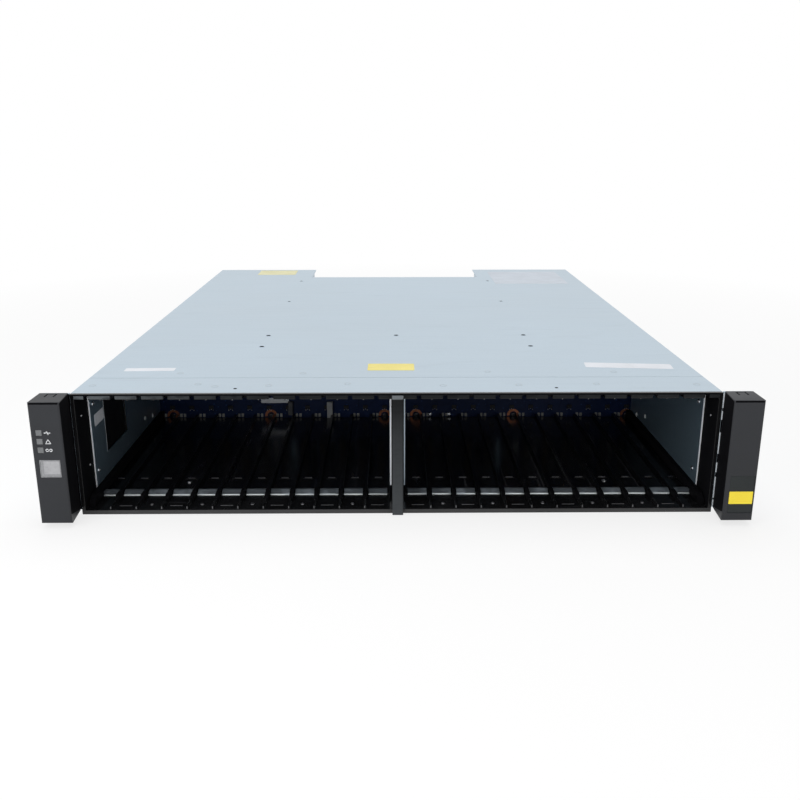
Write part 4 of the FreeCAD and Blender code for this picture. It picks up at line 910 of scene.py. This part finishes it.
def divider_pieces():
    """Dark strips painted as shade in the joints beside the divider's bar and at the channel's foot, and a
    pale strip painted as a highlight on its left edge.
    """
    # Painted shade beside the bar and at the foot
    joint_shade = trim(0.6, 80.0, 0.1, FILM_SHEET)
    divider_shades = [(joint_shade, on_front(x, DIVIDER_FACE, DIVIDER_HEIGHT)) for x in DIVIDER_JOINT_SHADES]
    foot = trim(1.9, DIVIDER_FOOT - FLOOR_STEEL, 0.2, LAND_SHEET)
    divider_shades += [(foot, on_front(x, DIVIDER_FACE, (DIVIDER_FOOT + FLOOR_STEEL) / 2)) for x in DIVIDER_LEGS]
    piece("divider_joint_shade", divider_shades, EDGE)
    # Painted highlight along the channel's left edge
    edge = trim(*DIVIDER_EDGE, 0.2, EDGE_SHEET)
    spot = on_front(DIVIDER_EDGE_PLACE, DIVIDER_FACE, DIVIDER_FOOT + DIVIDER_EDGE[1] / 2)
    piece("divider_edge_glint", [(edge, spot)], GLINT_PALE)


def head_pieces():
    """The head's face painted as shade: a dark band along its top and a matt bar between every two notches,
    painted paler at the left end for the light there.
    """
    band = trim(2 * HEAD_REACH, 1.1, 0.2, FILM_SHEET)
    piece("head_shade_band", [(band, on_front(0, 0, HEAD_BAND_HEIGHT))], EDGE)
    # Painted shade and light: the bars take the head's ramp of painted light
    notches = bay_middles()[BAYS:]
    ends = [HEAD_START, *notches, HEAD_REACH + HALF_NOTCH]
    bars = []
    for side in SIDES:
        for near, far in zip(ends, ends[1:]):
            bar = trim(far - near - 2 * HALF_NOTCH, 2.25, 0.2, FILM_SHEET)
            bars.append((bar, on_front(side * (near + far) / 2, 0, HEAD_BAR_HEIGHT)))
    piece("head_bars", bars, HEAD_BLACK)


def pale_mark_pieces():
    """Pale strips painted as highlights on the plates' front edges, the opening's front edge and the flange
    in the right gap; paler ticks on the pips and rib ends, a paler band on the sill's front, and metal bars
    in the guide slots.
    """
    # Painted highlights on the plates' front edges, the opening's front edge and the flange in the right
    # gap
    edge = trim(0.9, 76.0, 0.2, EDGE_SHEET)
    edges = [(edge, on_front(side * PLATE_MIDDLE, GUIDE_START, PLATE_EDGE_HEIGHT)) for side in SIDES]
    edge = trim(0.4, 44.0, 0.15, FILM_SHEET)
    edges.append((edge, inward(PLATE_FACE, -1, OPENING_FRONT, OPENING_HEIGHT)))
    edge = trim(0.5, 83.0, 0.15, FILM_SHEET)
    edges.append((edge, on_front(GAP_MIDDLE, 0, GAP_HEIGHT)))
    piece("edge_glints", edges, GLINT_PALE)
    tip = trim(0.6, 1.3, 0.2, LAND_SHEET)
    tips = [(tip, on_front(x, LIP, PIP_HEIGHT)) for x in boundaries()]
    piece("pip_tips", tips, PALE_BLACK)
    end = trim(*RIB_END, 0.2, EDGE_SHEET)
    ends = [(end, on_front(x, SILL_RIB_START, SILL_TOP + RIB_END[1] / 2)) for x in boundaries()]
    piece("sill_rib_ends", ends, PALE_BLACK)
    band = trim(442.6, 2.9, 0.3, FILM_SHEET)
    piece("sill_band", [(band, on_front(0, 0, SILL_BAND_HEIGHT))], SILL_GREY)
    bar = trim(5.6, 0.8, 0.3, (0.5, 0.15))
    bars = [(bar, on_top(x, SLOT_DEPTH, GUIDE_FLOOR)) for x in bay_middles()]
    piece("slot_bars", bars, SILL_SCREW)


# Small pieces on the ears

EARS = ((-1, "left_ear"), (1, "right_ear"))
FACE_INNER = 220.3
FACE_OUTER = 241.3
EAR_FLARE = 2.1
EAR_ROUNDING = 1.5
EAR_SIDE = [(0.9, 10.0), (22.6, 4.2), (22.6, 88.3), (0.9, 88.3)]
LIGHT_ROWS = (68.2, 62.2, 56.2)
SIGN_PLACE = -230.2
PULSE = [(-1.9, 0.0), (-0.8, 0.0), (-0.2, 1.2), (0.5, -1.2), (0.9, 0.0), (1.9, 0.0)]
TRIANGLE = [(-1.7, -1.4), (1.7, -1.4), (0.0, 1.5), (-1.7, -1.4)]
RINGS = (-1.2, 1.2)
RING_LINK = [(-0.5, 0.0), (0.5, 0.0)]
DISPLAY_FACE = -22.5
DISPLAY_MIDDLE = (-230.8, 43.1)
PANEL_MIDDLE = (-229.8, 43.8)
BADGE_FACE = -22.4
BADGE_MIDDLE = (231.85, 22.7)
BADGE_BLOCK_HEIGHT = 20.3
BAND_ARC = (10, 62)
BAND_PROUD = 0.04
BAND_STEPS = 8
# Upper and lower ends of the dark strips painted as shade across the gap at the right ear
GAP_SHADE_SPANS = [(77.0, 74.8), (68.6, 59.3), (43.8, 37.3), (30.2, 26.7), (11.0, 9.5)]


def stroke(points, width):
    """A line of even width through points, as one flat solid per run."""
    runs = []
    for (u0, v0), (u1, v1) in zip(points, points[1:]):
        along = Vector((u1 - u0, v1 - v0)).normalized() * width / 2
        across = Vector((-along.y, along.x))
        start = Vector((u0, v0)) - along * 0.8
        end = Vector((u1, v1)) + along * 0.8
        outline = [tuple(p) for p in (start - across, end - across, end + across, start + across)]
        runs.append(plate(outline, *FILM_SHEET))
    return runs


def ear_side(side):
    """A near-black sheet with almost no shine over the inner side of an ear, leaving the cap's own grey at
    its lowest front corner.
    """
    outline = EAR_SIDE if side < 0 else mirrored(EAR_SIDE)
    spot = facing(at(side * FACE_INNER, EAR_FRONT, 0), (side * EAR_FRONT, EAR_FLARE, 0), (0, 0, 1))
    return plate(outline, *LAND_SHEET), spot


def ear_pieces():
    """Plain signs beside the status lights, the display's panel, a bare badge ground and colour block."""
    rows = [on_front(SIGN_PLACE, EAR_FRONT, z) for z in LIGHT_ROWS]
    signs = [(run, rows[0]) for run in stroke(PULSE, 0.55)]
    signs += [(run, rows[1]) for run in stroke(TRIANGLE, 0.45)]
    ring = washer(0.55, 1.05, FILM_SHEET[0], 24)
    signs += [(ring, rows[2] @ Matrix.Translation((shift / 1000, 0, 0))) for shift in RINGS]
    signs += [(run, rows[2]) for run in stroke(RING_LINK, 0.4)]
    piece("status_signs", signs, INK, "left_ear")
    x, z = PANEL_MIDDLE
    panel = plate(rounded(10.6, 9.2, 0.5), 0.25, 0.1)
    piece("display_panel", [(panel, on_front(x, DISPLAY_FACE, z))], PANEL, "left_ear")
    x, z = DISPLAY_MIDDLE
    rim = frame_plate(rounded(13.9, 12.3, 0.5), 0.5, 0.35, 0.12)
    piece("display_rim", [(rim, on_front(x, DISPLAY_FACE, z))], GLASS, "left_ear")
    x, z = BADGE_MIDDLE
    ground = plate(rounded(16.3, 26.7, 0.6), *MID_SHEET)
    piece("badge_ground", [(ground, on_front(x, BADGE_FACE, z))], INSET, "right_ear")
    block = plate(rounded(16.1, 9.0, 0.3), *LABEL_SHEET)
    spot = on_front(x, BADGE_FACE - MID_SHEET[0], BADGE_BLOCK_HEIGHT)
    piece("badge_block", [(block, spot)], BADGE, "right_ear")
    for side, body in EARS:
        piece(f"side_panel_{body}", [ear_side(side)], SIDE_BLACK, body)


def edge_shade_band(reach):
    """A thin dark band painted along the top front edge of an ear cap, over a part of its rounding, as a
    dark reflection.
    """
    start, end = BAND_ARC
    turns = [math.radians(start + (end - start) * step / BAND_STEPS) for step in range(BAND_STEPS + 1)]
    outline = []
    for radius, angles in ((EAR_ROUNDING + BAND_PROUD, turns), (EAR_ROUNDING - BAND_PROUD, turns[::-1])):
        points = [(radius * math.cos(a), radius * math.sin(a)) for a in angles]
        outline += [(EAR_ROUNDING - u, v - EAR_ROUNDING) for u, v in points]
    return plate(outline[::-1], reach, 0.02)


def gap_pieces():
    """Dark bands painted along the ears' top front edges as a dark reflection, and dark strips painted as
    shade in the gaps between the ears and the frame.
    """
    margin = EAR_ROUNDING - 0.5
    band = edge_shade_band(FACE_OUTER - FACE_INNER - 2 * margin)
    for side, body in EARS:
        near = min(side * (FACE_INNER + margin), side * (FACE_OUTER - margin))
        piece(f"edge_shade_band_{body}", [(band, on_side(near, EAR_FRONT, EAR_TOP, 1))], EDGE, body)
    # Painted shade: a dark strip filling the left gap, and dark strips across the right gap
    gap_shade = trim(0.88, 84.2, 0.2, MID_SHEET)
    piece("gap_shade_left", [(gap_shade, on_front(-GAP_MIDDLE, 0, GAP_HEIGHT))], EDGE)
    shade_spans = []
    for high, low in GAP_SHADE_SPANS:
        shade_span = plate(rounded(0.8, high - low, 0.3), *MID_SHEET)
        shade_spans.append((shade_span, on_front(GAP_MIDDLE, 0, (high + low) / 2)))
    piece("gap_shade_right", shade_spans, EDGE)


# Small pieces at the back

# Middle, width and height of each port
PORTS = [(-70.4, 15.0, 10.2), (-52.4, 15.0, 10.2), (-26.4, 15.0, 10.2), (-8.4, 15.0, 10.2),
         (26.6, 17.0, 11.0), (52.6, 16.4, 13.6)]
PORT_FLOORS = {"lower": 8.2, "upper": 51.55}
PORT_INSERT = 490.0
PORT_ROOM = 1.6
BLADE_ROOT = 500.0
BLADE_ROOM = 6.0
BLADE_THICK = 1.4
PIN_PITCH = 0.9
PIN_STEPS = range(-4, 5)
PIN_REACH = 3.6
PORT_LIGHTS = (-3.0, 3.0)
PORT_LIGHT_RISE = 15.6
IO_LIGHT = 82.0
IO_LIGHT_RISES = (2, 6, 10)
IO_SCREWS = (-94.0, 94.0)
IO_SCREW_DROP = 1.6
# Middles of the fan and of the inlet of each supply
PSU_SIDES = {"left": (-188.7, -120.8), "right": (133.8, 201.7)}
FAN_RISE = 54.1
FAN_SCREW = 25.0
PSU_LIGHT_SHIFT = 7
PSU_LIGHT_RISES = (70, 76)
# The switch: its pivot's depth and height, tilt in degrees, reach of its signs, slope of its faces
ROCKER = (567.1, 56.3)
ROCKER_TILT = 8.0
ROCKER_SIGN = (2.4, 4.4)
ROCKER_SLOPE = (8.8, -2.4)


def port_pieces(name, floor):
    """What shows in and round the ports of one module: inserts, gilt contacts, light pipes and screws."""
    body = f"io_{name}"
    contact = chip(0.45, 5.0, 0.1)
    inserts = []
    contacts = []
    lights = []
    for x, width, height in PORTS:
        middle = floor + height / 2
        insert = trim(width - PORT_ROOM, height - PORT_ROOM, 0.4, (10.0, 0.4))
        inserts.append((insert, on_back(x, PORT_INSERT, middle)))
        blade = trim(width - BLADE_ROOM, BLADE_THICK, 0.3, (7.0, 0.3))
        inserts.append((blade, on_back(x, BLADE_ROOT, middle)))
        top = middle + BLADE_THICK / 2
        contacts += [(contact, on_top(x + PIN_PITCH * step, BLADE_ROOT + PIN_REACH, top))
                     for step in PIN_STEPS]
        lights += [(disc(0.8, 0.3, 0.12), on_back(x + shift, IO_FACE, floor + PORT_LIGHT_RISE))
                   for shift in PORT_LIGHTS]
    lights += [(disc(1.0, 0.3, 0.12), on_back(IO_LIGHT, IO_FACE, floor + rise))
               for rise in IO_LIGHT_RISES]
    screw = head(2.0, 1.1, star(1.0), 0.7)
    screws = [(screw, on_back(x, IO_FACE, floor - IO_SCREW_DROP)) for x in IO_SCREWS]
    piece(f"port_inserts_{name}", inserts, SOCKET, body)
    piece(f"port_contacts_{name}", contacts, GOLD, body)
    piece(f"module_lights_{name}", lights, PANEL, body)
    piece(f"module_screws_{name}", screws, SCREW, body)


def supply_pieces(name, fan, inlet):
    """Fan screws and light pipes on the face of one power supply, and the signs on its switch."""
    body = f"psu_{name}"
    screw = head(2.7, 1.5, cross(1.5, 0.28), 0.9)
    screws = [(screw, on_back(fan + u * FAN_SCREW, PSU_FACE, FAN_RISE + v * FAN_SCREW))
              for u in SIDES for v in SIDES]
    piece(f"fan_screws_{name}", screws, SCREW, body)
    between = (fan + inlet) / 2 + PSU_LIGHT_SHIFT
    lights = [(disc(1.3, 0.35, 0.15, 24), on_back(between, PSU_FACE, z)) for z in PSU_LIGHT_RISES]
    piece(f"supply_lights_{name}", lights, PANEL, body)
    pivot = at(inlet, *ROCKER)
    turn = Matrix.Rotation(math.radians(ROCKER_TILT), 3, "X")
    out, rise = ROCKER_SIGN
    run, fall = ROCKER_SLOPE
    signs = []
    for way, sign in ((1, trim(0.9, 4.0, 0.3, EDGE_SHEET)), (-1, washer(1.2, 1.9, EDGE_SHEET[0], 28))):
        place = pivot + turn @ Vector((0, out, rise * way)) / 1000
        signs.append((sign, facing(place, turn @ Vector((0, run, fall * way)), (0, 0, 1))))
    piece(f"switch_signs_{name}", signs, INK, f"{body}_switch")


cover_pieces()
midplane_pieces()
socket_pieces()
cage_pieces()
rail_pieces()
divider_pieces()
head_pieces()
pale_mark_pieces()
ear_pieces()
gap_pieces()
for module, level in PORT_FLOORS.items():
    port_pieces(module, level)
for supply, places in PSU_SIDES.items():
    supply_pieces(supply, *places)


# The stage, in metres: a pale floor, soft light, the photograph's camera

FLOOR_HALF = 6.0
FLOOR_HEIGHT = -0.0002
FLOOR_COLOUR = (0.9, 0.9, 0.9, 1)
# The floor glows a little less near the object, where its shadow falls
GLOW_REACH = (0.4, 1.0)
GLOW_LEAST = 0.75
SKY_LEVEL = 0.4
CAMERA_LENS = 40.06
CAMERA_SENSOR = 36.0
CAMERA_PLACE = (-0.0043, -0.8555, 0.2562)
CAMERA_DOWN = 16.64
CAMERA_RIGHT = 0.58


def seen_directly(tree):
    """One where a camera, glossy or transmission ray meets the surface, and nought for diffuse light."""
    path = new_node(tree, "LightPath")
    total = path.outputs["Is Camera Ray"]
    for ray in ("Is Glossy Ray", "Is Transmission Ray"):
        either = new_node(tree, "Math", "MAXIMUM")
        tree.links.new(total, either.inputs[0])
        tree.links.new(path.outputs[ray], either.inputs[1])
        total = either.outputs["Value"]
    return total


def stage():
    """A plain pale floor that shows as white and keeps the object's shadow."""
    mesh = bpy.data.meshes.new("floor")
    quarters = ((-1, -1), (1, -1), (1, 1), (-1, 1))
    corners = [(u * FLOOR_HALF, v * FLOOR_HALF, FLOOR_HEIGHT) for u, v in quarters]
    mesh.from_pydata(corners, [], [(0, 1, 2, 3)])
    floor = add("floor", mesh)
    made = Recipe("floor_white", Base_Color=FLOOR_COLOUR, Roughness=0.8, Specular_IOR_Level=0.0)
    reach = made.fed("VectorMath", made.place, 0, operation="LENGTH").outputs["Value"]
    share = made.maths(made.span(reach, GLOW_LEAST, 1.0, *GLOW_REACH), seen_directly(made.tree))
    mix = made.fed("MixShader", share, "Fac")
    links = made.tree.links
    links.new(made.shader.outputs["BSDF"], mix.inputs[1])
    links.new(new_node(made.tree, "Emission").outputs["Emission"], mix.inputs[2])
    links.new(mix.outputs["Shader"], made.tree.nodes["Material Output"].inputs["Surface"])
    mesh.materials.append(made.material)


def sky(strength):
    """A white surround: full white where it is seen, a lower level where it lights the object."""
    world = bpy.data.worlds.new("surround")
    scene.world = world
    world.use_nodes = True
    tree = world.node_tree
    level = new_node(tree, "MapRange", To_Min=strength, To_Max=1.0)
    tree.links.new(seen_directly(tree), level.inputs["Value"])
    background = tree.nodes["Background"]
    background.inputs["Color"].default_value = (1, 1, 1, 1)
    tree.links.new(level.outputs["Result"], background.inputs["Strength"])


def lamp(name, place, target, size, power, sheen=True):
    """A soft box that points at a target, seen in shiny surfaces or not."""
    light = bpy.data.lights.new(name, "AREA")
    light.shape = "RECTANGLE"
    light.size, light.size_y = size
    light.energy = power
    made = add(name, light)
    made.location = place
    made.rotation_euler = (Vector(target) - Vector(place)).to_track_quat("-Z", "Y").to_euler()
    made.visible_glossy = sheen


def camera():
    """The photograph's camera, found from the object's corners in the picture."""
    data = bpy.data.cameras.new("camera")
    data.lens = CAMERA_LENS
    data.sensor_width = CAMERA_SENSOR
    made = add("camera", data)
    made.location = CAMERA_PLACE
    made.rotation_euler = (math.radians(90 - CAMERA_DOWN), 0, -math.radians(CAMERA_RIGHT))
    scene.camera = made


stage()
sky(SKY_LEVEL)
lamp("top_box", (0.0, 0.1, 1.5), (0.0, 0.05, 0.0), (1.6, 1.6), 16.0, False)
lamp("key_box", (-0.50, -0.80, 0.28), (-0.22, -0.30, 0.05), (0.7, 0.7), 3.1, False)
lamp("fill_box", (0.30, -0.80, 0.22), (-0.2, -0.25, 0.05), (0.3, 0.3), 0.4)
camera()
bpy.context.scene.view_settings.view_transform = "Standard"
